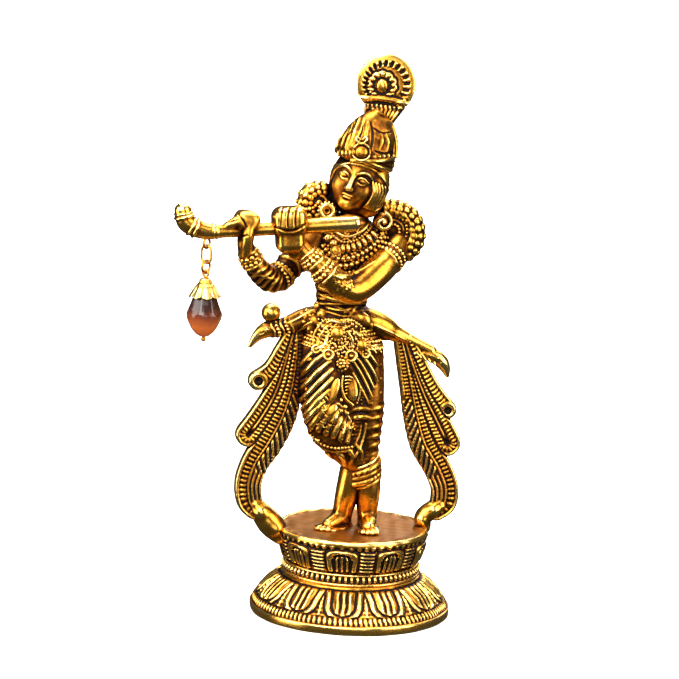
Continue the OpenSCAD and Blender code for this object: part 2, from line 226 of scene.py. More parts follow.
AZ, EL, ROLL, DIST = math.radians(-11.0), math.radians(10.0), math.radians(2.5), 1000.0
AIM = A(-7.7, 0.0, 98.6)
BACK = A(math.sin(AZ)*math.cos(EL), -math.cos(AZ)*math.cos(EL), math.sin(EL))
_r = np.cross((0, 0, 1), BACK); _r /= np.linalg.norm(_r)
_u = np.cross(BACK, _r)
RIGHT, UP = _r*math.cos(ROLL) + _u*math.sin(ROLL), -_r*math.sin(ROLL) + _u*math.cos(ROLL)
EYE = AIM + BACK*DIST
FACING = np.stack([RIGHT, -BACK, UP], 1)      # x to the right, y away from the camera, z up


def draw(clay, pts, sink=0.0):
    """Throws points of the front view's grid (679 wide, 2.825 to the mm) along the line of sight, onto the clay."""
    P = np.atleast_2d(np.array([list(p)[:2] for p in pts], float))
    w = -BACK + RIGHT*((P[:, :1] - 339.5)/2825) + UP*((339.5 - P[:, 1:2])/2825)
    w /= np.linalg.norm(w, axis=1, keepdims=True)
    size = np.array(clay.d.shape)*clay.h
    t = (clay.lo + size/2 - EYE) @ -BACK + np.arange(-np.linalg.norm(size)/2, np.linalg.norm(size)/2, 0.4)
    X = EYE + w[:, None, :]*t[None, :, None]
    g = (X - clay.lo)/clay.h
    v = np.where(((g > 0) & (g < np.array(clay.d.shape) - 1)).all(-1), clay.at(X), FAR)
    hit = v < 0
    ok = hit.any(1) & ~hit[:, 0]
    i = np.maximum(np.argmax(hit, 1), 1)
    n = np.arange(len(P))
    va, vb = v[n, i-1], v[n, i]
    s = t[i-1] + (t[i] - t[i-1])*va/(va - vb + 1e-9) + sink
    return EYE + w*s[:, None], ok


def stroke(src, dst, pts, r, sink=0.3, k=0.2, cut=False, bead=None):
    """A ridge, a groove or a row of beads along points of the front view."""
    P = spaced(curve([list(p) + [0]*(3 - len(p)) for p in pts], 8), 2.0)
    Q, ok = draw(src, P, sink)
    Q = Q[ok]
    if len(Q) < 2:
        return
    if bead:
        dst.beads(Q, r, bead, k)
        return
    rr = np.interp(np.linspace(0, 1, len(Q)), np.linspace(0, 1, len(r)), r) if isinstance(r, (list, tuple)) else np.full(len(Q), r)
    dst.chain(np.column_stack([Q, rr]), k, cut)


def lump(src, dst, p, r, deg=0, sink=0.2, k=0.15, cut=False):
    """A flattened lump at a point of the front view, with its long side turned by deg from upright."""
    Q, ok = draw(src, [p], sink)
    if ok[0]:
        r = (r, r*0.8, r) if isinstance(r, (int, float)) else r
        dst.ell(Q[0], r, FACING @ turn("Y", deg), k, cut)


def copy_of(clay):
    c = Clay((0, 0, 0), (1, 1, 1))
    c.__dict__.update(clay.__dict__)
    c.d = clay.d.copy()
    return c


def pebbles(src, dst, region, n, r0, r1, sink=0.25, k=0.12, seed=1):
    """Small lumps strewn over a polygon of the front view, none too near another."""
    g = np.random.default_rng(seed)
    R = np.array(region, float)
    lo, hi, kept = R.min(0), R.max(0), []
    for _ in range(n * 12):
        p = g.uniform(lo, hi)
        inside = False
        for a, b in zip(R, np.roll(R, -1, 0)):
            if (a[1] > p[1]) != (b[1] > p[1]) and p[0] < (b[0]-a[0])*(p[1]-a[1])/(b[1]-a[1]) + a[0]:
                inside = not inside
        r = g.uniform(r0, r1)
        if inside and all(np.hypot(*(p - q)) > 2.825*(r + s)*0.86 for q, s in kept):
            kept.append((p, r))
            if len(kept) >= n:
                break
    Q, ok = draw(src, [p for p, _ in kept], sink)
    for q, o, (_, r) in zip(Q, ok, kept):
        if o:
            dst.ball(q, r, k)


# ---------- materials ----------

def nodes_of(name):
    m = bpy.data.materials.new(name)
    m.use_nodes = True
    t = m.node_tree
    return m, t, t.nodes["Principled BSDF"]


def ramp(t, fac, stops):
    n = t.nodes.new("ShaderNodeValToRGB")
    t.links.new(fac, n.inputs[0])
    el = n.color_ramp.elements
    while len(el) < len(stops):
        el.new(0.5)
    for e, (p, c) in zip(el, stops):
        e.position, e.color = p, (*c, 1)
    return n.outputs[0]


def math_node(t, op, a, b=None):
    n = t.nodes.new("ShaderNodeMath")
    n.operation = op
    for i, v in enumerate((a, b)):
        if v is None:
            continue
        if isinstance(v, (int, float)):
            n.inputs[i].default_value = v
        else:
            t.links.new(v, n.inputs[i])
    return n.outputs[0]


def noise(t, scale, detail=4.0, rough=0.6, kind="ShaderNodeTexNoise"):
    co = t.nodes.new("ShaderNodeTexCoord")
    n = t.nodes.new(kind)
    n.inputs["Scale"].default_value = scale
    if "Detail" in n.inputs:
        n.inputs["Detail"].default_value = detail
    if "Roughness" in n.inputs:
        n.inputs["Roughness"].default_value = rough
    t.links.new(co.outputs["Object"], n.inputs["Vector"])
    return n.outputs[0]


def attr(t, name):
    n = t.nodes.new("ShaderNodeAttribute")
    n.attribute_name = name
    return n.outputs["Fac"]


def bump(t, bsdf, layers):
    """Stacks bump maps: (height socket, strength, distance in metres)."""
    last = None
    for h, strength, dist in layers:
        b = t.nodes.new("ShaderNodeBump")
        b.inputs["Strength"].default_value = strength
        b.inputs["Distance"].default_value = dist
        t.links.new(h, b.inputs["Height"])
        if last:
            t.links.new(last, b.inputs["Normal"])
        last = b.outputs[0]
    t.links.new(last, bsdf.inputs["Normal"])


def gold(name, dark=0.0, rough=0.24, cast=1.0, stops=None, even=None):
    """Gold plate with a dark wash that lies in the recesses: 'fine' is patina in the small relief, and 'deep' is patina
    with painted shade in the larger hollows and between the pieces.
    """
    m, t, b = nodes_of(name)
    worn = math_node(t, "MULTIPLY", noise(t, 420, 5, 0.65), 0.34)
    blotch = math_node(t, "MULTIPLY", noise(t, 95, 3, 0.5), 0.30)
    relief = attr(t, "deep_patina_and_shade") if even else math_node(t, "ADD", attr(t, "fine"), attr(t, "deep_patina_and_shade"))
    v = math_node(t, "ADD", relief, math_node(t, "ADD", worn, blotch))
    if even:
        v = math_node(t, "ADD", v, even)
    v = math_node(t, "SUBTRACT", v, 0.32 + dark)
    col = ramp(t, v, stops or [
        (0.40, (0.010, 0.003, 0.001)), (0.52, (0.07, 0.020, 0.003)), (0.62, (0.28, 0.10, 0.012)),
        (0.73, (0.62, 0.28, 0.030)), (0.88, (0.86, 0.49, 0.075)), (1.0, (0.95, 0.68, 0.22))])
    t.links.new(col, b.inputs["Base Color"])
    r = ramp(t, v, [(0.0, (0.75,)*3), (0.35, (0.48,)*3), (0.6, (rough + 0.08,)*3), (1.0, (rough,)*3)])
    t.links.new(r, b.inputs["Roughness"])
    met = ramp(t, v, [(0.0, (0.25,)*3), (0.3, (0.8,)*3), (0.5, (1.0,)*3)])
    t.links.new(met, b.inputs["Metallic"])
    bump(t, b, [(noise(t, 1500, 3, 0.7), 0.16 * cast, 0.0002), (noise(t, 380, 4, 0.6), 0.30 * cast, 0.0004)])
    return m


GOLD = gold("cast_gold")
BROWN = gold("brown_gold", dark=0.075, rough=0.26, cast=1.2)
SMOOTH = gold("rubbed_gold", dark=-0.08, rough=0.2, cast=0.55)
WIRE = gold("wire_gold", dark=-0.74, rough=0.26, cast=0.3)
# face_gold is lighter than the cast gold: painted highlight on the face
FACE = gold("face_gold", dark=-0.05, rough=0.28, cast=0.5)
PLATE = gold("brown_cast", dark=0.1, rough=0.36, cast=0.8, even=0.5, stops=[
    (0.0, (0.05, 0.017, 0.003)), (0.25, (0.13, 0.045, 0.007)), (0.5, (0.25, 0.092, 0.012)),
    (0.8, (0.37, 0.145, 0.019)), (1.0, (0.54, 0.26, 0.042))])


def steel():
    m, t, b = nodes_of("zinc_steel")
    n = noise(t, 900, 4)
    t.links.new(ramp(t, n, [(0.3, (0.32, 0.32, 0.33)), (0.7, (0.60, 0.60, 0.61))]), b.inputs["Base Color"])
    b.inputs["Metallic"].default_value = 1.0
    t.links.new(ramp(t, n, [(0.2, (0.3,)*3), (0.8, (0.5,)*3)]), b.inputs["Roughness"])
    bump(t, b, [(noise(t, 2500, 2), 0.2, 0.0001)])
    return m


STEEL = steel()


def amber(z0, z1):
    """Brown glass, with painted light, orange towards its point, and painted shade from the cap, darker towards the
    top.
    """
    m, t, b = nodes_of("amber_body")
    co = t.nodes.new("ShaderNodeTexCoord")
    sep = t.nodes.new("ShaderNodeSeparateXYZ")
    t.links.new(co.outputs["Object"], sep.inputs[0])
    g = math_node(t, "MULTIPLY", math_node(t, "SUBTRACT", sep.outputs[2], z0), 1 / (z1 - z0))
    g = math_node(t, "ADD", g, math_node(t, "MULTIPLY", math_node(t, "SUBTRACT", noise(t, 160, 3), 0.5), 0.25))
    t.links.new(ramp(t, g, [(0.0, (0.17, 0.036, 0.007)), (0.24, (0.25, 0.056, 0.009)), (0.44, (0.11, 0.024, 0.008)),
                            (0.60, (0.030, 0.011, 0.009)), (1.0, (0.018, 0.009, 0.008))]), b.inputs["Base Color"])
    b.inputs["IOR"].default_value = 1.52
    b.inputs["Transmission Weight"].default_value = 0.2
    t.links.new(ramp(t, noise(t, 700, 3), [(0.3, (0.08,)*3), (0.75, (0.22,)*3)]), b.inputs["Roughness"])
    bump(t, b, [(noise(t, 260, 3), 0.25, 0.0004)])
    return m


# ---------- making meshes ----------

made = []                # (object, clay or None)


def mesh_of(name, co, faces, smooth=True):
    me = bpy.data.meshes.new(name)
    me.vertices.add(len(co))
    me.vertices.foreach_set("co", (co * MM).astype(np.float32).ravel())
    k = faces.shape[1]
    me.loops.add(faces.size)
    me.loops.foreach_set("vertex_index", faces.astype(np.int32).ravel())
    me.polygons.add(len(faces))
    me.polygons.foreach_set("loop_start", np.arange(0, faces.size, k, dtype=np.int32))
    me.update(calc_edges=True)
    me.validate()
    me.polygons.foreach_set("use_smooth", np.full(len(me.polygons), smooth))
    ob = bpy.data.objects.new(name, me)
    bpy.context.collection.objects.link(ob)
    return ob


def fire(clay, name, node, material, body="statue", keep=1):
    """Meshes a clay, and puts it in place of its CAD nodes."""
    d = clay.d
    for ax in range(3):
        sl = [slice(None)] * 3
        for e in (0, -1):
            sl[ax] = e
            d[tuple(sl)] = np.maximum(d[tuple(sl)], 0.3)
    g = vdb.FloatGrid(FAR)
    g.copyFromArray(np.ascontiguousarray(d))
    co, tris, quads = g.convertToPolygons(0.0, 0.0)
    co = np.asarray(co, float)
    quads = np.asarray(quads)
    # loose crumbs go: only shells of a fair size stay
    parent = np.arange(len(co))
    e = np.concatenate([quads[:, [0, 1]], quads[:, [1, 2]], quads[:, [2, 3]]])
    while True:
        low = np.minimum(parent[e[:, 0]], parent[e[:, 1]])
        before = parent.copy()
        np.minimum.at(parent, e[:, 0], low)
        np.minimum.at(parent, e[:, 1], low)
        parent = parent[parent]
        if (parent == before).all():
            break
    count = np.bincount(parent, minlength=len(co))
    good = count[parent] > (400 if keep == 1 else 60)
    quads = quads[good[quads[:, 0]]]
    used = np.zeros(len(co), bool)
    used[quads.ravel()] = True
    new = np.cumsum(used) - 1
    co, quads = co[used], new[quads]
    co = co * clay.h + clay.lo
    for _ in range(2):
        v = clay.at(co)
        s = clay.h * 0.5
        n = np.stack([clay.at(co + o) - clay.at(co - o) for o in np.eye(3) * s], 1)
        n /= np.linalg.norm(n, axis=1, keepdims=True) + 1e-9
        co = co - n * np.clip(v, -s, s)[:, None]
    tri = co[quads]
    vol = np.einsum("ij,ij->i", tri[:, 0], np.cross(tri[:, 1], tri[:, 2])).sum()
    if vol < 0:
        quads = quads[:, ::-1]
    ob = mesh_of(name, co, quads)
    fine = clay.at(co, box_blur(box_blur(np.clip(d, -FAR, FAR), max(1, round(0.45 / clay.h))), max(1, round(0.45 / clay.h))))
    a = ob.data.attributes.new("fine", "FLOAT", "POINT")
    a.data.foreach_set("value", np.clip(0.5 + fine * 1.55, 0, 1).astype(np.float32))
    ob.data.materials.append(material)
    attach(ob, body)
    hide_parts(*([node] if isinstance(node, str) else node))
    made.append((ob, clay, co))
    return ob


# ---------- pedestal ----------

def sdf_polygon(P, r, z):
    """Signed distance to a closed polygon, on arrays r and z."""
    best = np.full(np.broadcast(r, z).shape, 1e9, np.float32)
    inside = np.zeros(best.shape, bool)
    for a, b in zip(P, np.roll(P, -1, 0)):
        e = b - a
        t = np.clip(((r-a[0])*e[0] + (z-a[1])*e[1]) / (e @ e), 0, 1)
        best = np.minimum(best, (r-a[0]-t*e[0])**2 + (z-a[1]-t*e[1])**2)
        c = ((a[1] > z) != (b[1] > z)) & (r < (b[0]-a[0]) * (z-a[1]) / (b[1]-a[1] + 1e-12) + a[0])
        inside ^= c
    return np.where(inside, -1, 1) * np.sqrt(best)


def turned(profile, rmax, z0, z1, relief, h=0.3):
    """A turned shell with relief(theta, radius, z) raised on its outside."""
    c = Clay((-rmax, -rmax, z0), (rmax, rmax, z1), h)
    n = c.d.shape
    x = (c.lo[0] + h*np.arange(n[0]))[:, None].astype(np.float32)
    y = (c.lo[1] + h*np.arange(n[1]))[None, :].astype(np.float32)
    r, th = np.sqrt(x*x + y*y), np.arctan2(x, -y)
    P = np.array(profile, float)
    mid = P[:, 0].mean()
    rr = np.arange(0, rmax + 3, h/2, dtype=np.float32)
    for k in range(n[2]):
        z = c.lo[2] + h*k
        line = sdf_polygon(P, rr, np.float32(z))
        d = np.interp(r, rr, line)
        core = np.interp(z, *wall_middle(P))
        out = r > core
        d = np.where(out, d - relief(th, r, z), d)
        c.d[:, :, k] = d
    return c


def wall_middle(P):
    """Heights, and the radius half way through the wall at each."""
    zs = np.linspace(P[:, 1].min() + 0.01, P[:, 1].max() - 0.01, 60)
    out = []
    for z in zs:
        xs = [a[0] + (b[0]-a[0])*(z-a[1])/(b[1]-a[1]) for a, b in zip(P, np.roll(P, -1, 0)) if (a[1] > z) != (b[1] > z)]
        out.append((min(xs) + max(xs)) / 2)
    return zs, np.array(out)


def ridge(d, at, w, h):
    """A round-topped rib of height h along d = at."""
    return h * np.clip(1 - ((d - at) / w)**2, 0, 1)**0.7


(bx0, by0, bz0), (bx1, by1, bz1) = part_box("pedestal_base")
rim_r, seam_z = bx1 / MM, bz1 / MM
plate_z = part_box("foot_plate")[1][2] / MM
lip_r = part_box("pedestal_bowl")[1][0] / MM
bowl_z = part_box("pedestal_bowl")[0][2] / MM


def lower_relief(th, r, z):
    pitch = 2*math.pi / 12
    u = (th / pitch) % 1.0 - 0.5               # a gap between two petals is at the front
    w = pitch * r
    X = u * w
    L = (seam_z - 1.6 - z) / 0.72              # down the slope
    # the petal: a U that points down
    R = 0.425 * pitch * 29.5
    c = 5.6
    dU = np.where(L < c, np.abs(X) - R, np.sqrt(X*X + (L-c)**2) - R)
    out = ridge(dU, -1.0, 1.1, 1.0) - ridge(dU, -2.3, 0.45, 0.4) - ridge(dU, 0.35, 0.4, 0.35)
    inner = np.clip((-dU - 2.6) / 0.5, 0, 1)
    out += inner * (0.62 + 0.30*np.cos(2*math.pi*X/2.25 + 0.35*np.sin(L)))
    # behind and between: the tip of the petal below, with fine ribs
    gap = np.clip(dU / 0.5, 0, 1)
    Xg = (0.5 - np.abs(u)) * w
    out += gap * (0.35*np.clip(1 - Xg/2.6, 0, 1) + 0.16*np.cos(2*math.pi*z/1.25)*np.clip(1 - Xg/2.2, 0, 1) + ridge(Xg, 0, 0.5, 0.35))
    on = np.clip((z - 5.9) / 0.5, 0, 1) * np.clip((seam_z - 1.1 - z) / 0.5, 0, 1)
    # the roped row on the rim, and the bands
    rope = ridge(z, 4.5, 1.2, 1.0) * (0.66 + 0.34*np.cos(118*th + 0.5*z + 0.8*np.sin(7*th)))
    band = ridge(z, 1.5, 2.1, 0.35) + ridge(z, 6.0, 0.4, 0.25) + ridge(z, seam_z - 0.5, 0.6, 0.35)
    wob = 0.10*np.sin(5*th + 0.4)*np.clip(1 - z/4, 0, 1) + 0.06*np.sin(17*th)
    return out*on + rope + band + wob


prof = [(rim_r - 0.5, 0), (rim_r - 0.35, 2.7), (rim_r - 1.6, 3.4), (rim_r - 2.7, 5.5), (rim_r - 6, 9.4),
        (25.4, seam_z - 1.6), (24, seam_z), (21.6, seam_z), (22.6, seam_z - 2.4), (rim_r - 8.4, 8.8),
        (rim_r - 5.2, 4.8), (rim_r - 3, 2.4), (rim_r - 2.9, 0)]
base = turned(prof, rim_r + 1, 0, seam_z, lower_relief)
base.d[:, :, :int((0 - base.lo[2]) / base.h)] = 1
fire(base, "lower_lotus", "pedestal_base", GOLD)


def ring_relief(th, r, z):
    zc = (seam_z + bowl_z) / 2
    beads = ridge(z, zc + 0.2, 1.25, 1.25) * (0.45 + 0.55*np.cos(72*th))
    return beads + ridge(z, seam_z + 0.55, 0.55, 0.9) + ridge(z, bowl_z - 0.45, 0.5, 0.75)


ring = turned([(24, seam_z), (23.6, bowl_z), (21.4, bowl_z), (21.4, seam_z)], 26, seam_z, bowl_z, ring_relief, 0.27)
fire(ring, "beaded_waist", "bead_ring", GOLD)


def upper_relief(th, r, z):
    pitch = 2*math.pi / 9
    u = ((th - 0.026) / pitch) % 1.0 - 0.5
    X = u * pitch * 26.0
    top, low = plate_z - 3.0, bowl_z + 0.5
    # an arch, wide at the top and a little drawn in below
    half = 6.1 - 0.09*np.clip(top - z, 0, 9)
    c = top - 3.3
    dU = np.where(z < c, np.abs(X) - half, (np.abs(X/half)**2.6 + np.abs((z - c)/3.3)**2.6)**(1/2.6)*4.2 - 4.2)
    out = ridge(dU, -0.95, 1.05, 1.15) - 0.85*np.clip((-dU - 1.9)/0.35, 0, 1)
    inner = np.clip((-dU - 2.45) / 0.4, 0, 1)
    out += inner * (1.1 + 0.55*np.cos(2*math.pi*X/1.95))
    Xg = (0.5 - np.abs(u)) * pitch * 26.0
    gap = np.clip(dU / 0.35, 0, 1)
    out += gap * np.clip((2.7 - Xg)/0.5, 0, 1) * (0.45 + 0.5*np.cos(2*math.pi*z/1.35 + 0.7*np.sin(7*th)))
    out += gap * ridge(Xg, 2.9, 0.45, 0.4)
    on = np.clip((z - low) / 0.4, 0, 1) * np.clip((plate_z - 2.9 - z) / 0.4, 0, 1)
    lip = ridge(z, plate_z - 2.3 + 0.15*np.sin(7*th), 0.75, 0.75) * (0.55 + 0.45*np.cos(58*th + 1.2*np.sin(9*th)))
    lip += ridge(z, plate_z - 0.9, 1.1, 0.4) + 0.22*np.sin(7*th + 0.6) + 0.12*np.sin(19*th + 1)
    return out*on + lip


bowl = turned([(23.4, bowl_z), (24.6, bowl_z + 3), (25.6, bowl_z + 6), (lip_r - 1.1, plate_z - 3), (lip_r - 0.5, plate_z - 1.4),
               (lip_r - 0.7, plate_z), (lip_r - 2.1, plate_z), (lip_r - 2.1, plate_z - 2), (lip_r - 4, plate_z - 2),
               (21.2, bowl_z)], lip_r + 1.4, bowl_z, plate_z + 0.3, upper_relief)
fire(bowl, "upper_lotus", "pedestal_bowl", BROWN)

plate = Clay((-26, -26, plate_z - 2.2), (26, 26, plate_z + 1), 0.3)
pr = lip_r - 2.0
scars = [(rng.uniform(-22, 22), rng.uniform(-22, 22), rng.uniform(1.5, 5)) for _ in range(26)]


def plate_f(x, y, z):
    r = np.sqrt(x*x + y*y)
    top = plate_z - 0.16 + 0.10*np.sin(0.31*x + 1)*np.cos(0.27*y) + 0.06*np.sin(0.9*x + 0.5*y)*np.sin(0.7*y - 0.3*x)
    for sx, sy, sr in scars:
        top = top + 0.11*np.exp(-((x-sx)**2 + (y-sy)**2)/sr**2) * (1 if sr > 3 else -1)
    # the solder that runs out round the feet, and the rough edge where it meets the lip
    for fx, fy, fr in ((-7, -3.5, 7.5), (4.3, -7.5, 7)):
        d = np.sqrt((x-fx)**2 + (y-fy)**2)
        top = top + 0.5*np.clip(1 - d/fr, 0, 1)*(0.7 + 0.3*np.sin(1.9*x)*np.sin(1.7*y + 0.8))
    top = top + 0.35*np.clip((r - pr + 2.2)/2, 0, 1)*(0.5 + 0.5*np.sin(23*np.arctan2(x, -y) + 2*np.sin(5*np.arctan2(x, -y))))
    return np.maximum(np.maximum(r - pr, z - top), plate_z - 2 - z)


plate.shape(plate_f, (-26, -26, plate_z - 2), (26, 26, plate_z), 0.15)
for hx, hy in ((-3.9, -1.5), (4.8, -3)):
    plate.chain([(hx, hy, plate_z - 4, 1.6), (hx, hy, plate_z + 2, 1.6)], 0.05, cut=True)
fire(plate, "foot_plate_cast", "foot_plate", PLATE)

# ---------- legs ----------

Z = plate_z


def leg(shin, foot, toes, heel, name, node):
    c = Clay((min(p[0] for p in shin + foot + toes) - 5, -19, Z), (12, 6, Z + 27.5), 0.28)
    c.chain(curve(shin), 0.5)
    c.chain(curve(foot), 1.8)
    c.ball((heel[0] + 0.2, heel[1] + 1.6, Z + 1.6), 2.2, 1.4)
    # the cast foot spreads into the plate
    for p in foot:
        c.ell((p[0], p[1], Z + 0.2), (p[3] + 1.5, p[3] + 1.5, 1.1), None, 1.0)
    for t in toes:
        c.chain([t[:3] + (t[3],), (t[0] + t[4]*2.2, t[1] + t[5]*2.2, Z + 0.8, t[3]*0.9)], 0.3)
    # soft folds that run down the shin to the foot
    for dx in (-2.2, -0.6, 1.2):
        c.line([(shin[1][0] + dx, shin[1][1] - 3.2, shin[1][2] - 3), (shin[3][0] + dx*0.9, shin[3][1] - 2.6, shin[3][2]),
                (foot[1][0] + dx, foot[1][1] - 1.5, Z + 3.6)], [0.3, 0.55, 0.3], 0.6)
    c.shape(lambda x, y, z: (z - Z) + 0*x + 0*y, (-30, -30, Z - 3), (30, 30, Z - 1), 0.05, cut=True)
    c.soften(1)
    for t in toes:
        c.line([(t[0] + t[4]*2.4, t[1] + t[5]*2.4, Z + 1.55), (t[0] + t[4]*2.9, t[1] + t[5]*2.9, Z + 1.1)], 0.2, 0.1, cut=True)
    fire(c, name, node, SMOOTH)


leg([(-0.4, -2.5, Z+25, 4.9), (-1.4, -2.7, Z+20, 4.8), (-2.8, -2.5, Z+13, 4.4), (-3.9, -1.8, Z+7, 3.8), (-4.4, -1.2, Z+2.4, 3.6)],
    [(-3.6, 0, Z+2, 2.5), (-6.6, -3.2, Z+2.5, 2.9), (-9.8, -6, Z+1.6, 2.5)],
    [(-9.6, -7.8, Z+1.2, 1.15, -0.5, -0.85), (-11.1, -7.3, Z+1.1, 1.05, -0.7, -0.7), (-12.2, -6.2, Z+1.0, 1.0, -0.85, -0.5),
     (-12.5, -4.9, Z+0.95, 0.95, -0.9, -0.4)], (-4, -1), "right_shin_foot", "right_leg")
leg([(3.2, -3, Z+25, 4.8), (3.8, -3.8, Z+19, 4.8), (4.1, -4, Z+13.5, 4.5), (4.4, -3.4, Z+7, 3.8), (4.8, -2.8, Z+2.4, 3.5)],
    [(4.8, -2, Z+2, 2.6), (4.5, -6.2, Z+2.7, 3.0), (4.0, -10, Z+1.7, 2.7)],
    [(5.9, -11.8, Z+1.2, 1.1, 0.08, -1), (4.4, -12.4, Z+1.1, 1.05, -0.02, -1), (2.9, -12.2, Z+1.0, 1.0, -0.12, -1),
     (1.6, -11.3, Z+0.95, 0.95, -0.25, -1)], (4.8, -2.6), "left_shin_foot", "left_leg")

# ---------- dress ----------

WZ = 113.0
BODY = [(-7.6, 0, WZ-3, 9.8, 7.0, 2.5), (-7.6, 0, WZ-8, 12.3, 8.3, 4), (-7.2, 0, WZ-17, 14.6, 9.0, 5),
        (-7, -0.3, 85, 14.2, 9.2, 5), (-6.4, -0.6, 74, 13.2, 9.1, 5), (-5.2, -1.2, 66, 11.4, 8.4, 4),
        (-2.4, -2, 59.5, 8.4, 7.4, 3), (0.6, -2.5, 54, 5.9, 6.1, 2.5)]
bk = np.array(BODY)


def body_axis(z):
    o = np.argsort(bk[:, 2])
    return np.interp(z, bk[o, 2], bk[o, 0]), np.interp(z, bk[o, 2], bk[o, 1])


dress = Clay((-24, -14, 50), (12, 11, 114), 0.28)
dress.chain(curve(BODY, 5), 0.3)
# the right thigh crosses in front of the left one, and its shin comes back across to the hem
dress.chain(curve([(-12.4, -3.2, 95, 6.4), (-13.4, -4.2, 86, 7.0), (-13.6, -4.6, 76, 7.3), (-11.4, -4.6, 68, 7.0),
                   (-6.6, -4.8, 61.5, 5.6), (-1.4, -4.6, 56, 4.6)]), 0.9)
dress.chain(curve([(1.6, -2.2, 95, 6.2), (2.6, -2.8, 82, 6.0), (2.6, -3, 70, 5.8), (2.2, -3.2, 58, 4.8)]), 0.9)
dress.soften(1)
smooth_dress = copy_of(dress)


def on_dress(pts, sink=0.0, src=None):
    return (src or dress).wrap(pts, body_axis, sink)


sd = smooth_dress
# pleats over the right thigh, round to the side
for i, pts in enumerate(([(324, 345), (315, 351), (307, 359), (301, 366)], [(326, 353), (317, 360), (308, 370), (301, 378)],
                         [(330, 361), (320, 370), (310, 381), (301, 390)], [(332, 369), (322, 379), (312, 390), (302, 400)],
                         [(332, 378), (323, 388), (314, 398), (303, 409)], [(329, 390), (322, 397), (314, 406), (305, 416)],
                         [(324, 402), (318, 408), (312, 415), (307, 421)])):
    stroke(sd, dress, pts, [0.7, 1.2, 1.25, 1.1], 0.25, 0.18)
    stroke(sd, dress, [(x - 1, y + 4.6) for x, y in pts], [0.25, 0.45, 0.45, 0.3], -0.05, 0.1, cut=True)
# their ends carry on round the hip to the back
for i in range(8):
    z, a = 92.5 - 3.5*i, -62
    dress.line(on_dress([(a, z), (a - 26, z - 2.6), (a - 54, z - 4.6), (a - 84, z - 5.4), (a - 108, z - 5)], 0.2, sd), [0.9, 1.15, 1.0, 0.8, 0.4], 0.2)
# the left thigh: thin ridges that fall outwards, with grooves between
for pts in ([(352, 352), (360, 362), (368, 376), (374, 388)], [(356, 349), (365, 359), (373, 371), (378, 382)],
            [(354, 362), (361, 374), (368, 388), (372, 397)], [(353, 373), (358, 383), (364, 394), (368, 402)],
            [(361, 346), (370, 355), (378, 366)]):
    stroke(sd, dress, pts, [0.35, 0.7, 0.65, 0.35], 0.15, 0.15)
    stroke(sd, dress, [(x - 2.6, y + 2.4) for x, y in pts], 0.4, -0.1, 0.1, cut=True)
pebbles(sd, dress, [(360, 388), (372, 394), (372, 404), (356, 404)], 26, 0.35, 0.6, seed=3)
for i in range(6):
    z = 96 - 5*i
    dress.line(on_dress([(64, z), (88, z - 4), (114, z - 7), (134, z - 8)], 0.2, sd), [0.5, 0.9, 0.8, 0.4], 0.2)
# two rolls of cloth across the left knee
for y, r in ((409.0, 1.1), (417.4, 1.15)):
    stroke(sd, dress, [(350, y + 2.5), (357, y - 0.4), (365, y - 0.6), (372, y + 1.2)], [0.4, r, r, 0.5], 0.55, 0.3)
stroke(sd, dress, [(349, 415), (358, 413), (369, 413.6)], [0.2, 0.35, 0.2], -0.1, 0.08, cut=True)
# a column of rolls down the outer edge of the left leg, carried round to the back
for i, y in enumerate((403, 413, 423, 432.5, 442, 451)):
    z = 75.6 - 3.35*i
    dress.line(on_dress([(46, z - 0.8), (62, z), (84, z + 0.5), (110, z + 0.3), (138, z)], 0.55, sd), [0.4, 1.0, 1.25, 1.1, 0.6], 0.5)
stroke(sd, dress, [(366, 424), (364, 436), (360, 447), (355, 457)], [0.4, 0.6, 0.5], 0.15, 0.12)
stroke(sd, dress, [(361, 425), (359, 436), (354, 447)], [0.3, 0.45, 0.3], 0.15, 0.12)
# the knee: broad overlapping strips that fan out over it, crinkled and worn
g = np.random.default_rng(11)
for i in range(6):
    pts = [(335 + 3.4*i, 396 + 3.6*i), (325 + 4.6*i, 409 + 3.4*i), (313 + 6.6*i, 425 + 3.2*i)]
    stroke(sd, dress, pts, [0.8, 2.1, 1.7], 1.35, 0.3)
    stroke(sd, dress, [(x + 2.4, y + 1.2) for x, y in pts], [0.2, 0.36, 0.2], -0.25, 0.12, cut=True)
for i in range(30):
    x, y = g.uniform(312, 346), g.uniform(408, 440)
    stroke(sd, dress, [(x - 3, y - 1.6), (x, y + 0.8), (x + 2.6, y + 0.2)], [0.12, 0.3, 0.12], -0.5, 0.1, cut=i % 3 > 0)
pebbles(sd, dress, [(346, 420), (356, 424), (352, 442), (340, 444)], 16, 0.3, 0.5, 0.1, seed=4)
# the hem: beads over plain cloth
hem = [(308, 432), (318, 441.5), (327, 446.5), (338, 448.5), (352, 447)]
stroke(sd, dress, hem, 0.55, 0.0, 0.1, bead=1.25)
stroke(sd, dress, [(x, y + 3.2) for x, y in hem], 0.45, 0.15, 0.12)
for pts in ([(346, 447), (352, 455), (350, 463)], [(336, 450), (343, 458), (345, 466)], [(355, 444), (361, 452), (361, 460)], [(325, 449), (333, 459), (339, 469)]):
    stroke(sd, dress, pts, [0.5, 1.1, 0.9, 0.5], 0.5, 0.4)
back_hem = [(-88, 66.5), (-112, 65), (-140, 63.4), (-168, 61.6), (-196, 60.2), (-230, 60)]
dress.beads(on_dress(back_hem, 0.0, sd), 0.6, 1.3)
dress.line(on_dress([(a, z - 1.6) for a, z in back_hem], 0.1, sd), 0.5, 0.15)
# the back falls in long gathers
for i in range(10):
    a = 122 + 13*i
    dress.line(on_dress([(a, 103), (a + 4*math.sin(i), 90), (a - 3, 76), (a - 6, 64)], 0.3, sd), [0.6, 1.15, 1.15, 0.7], 0.3)
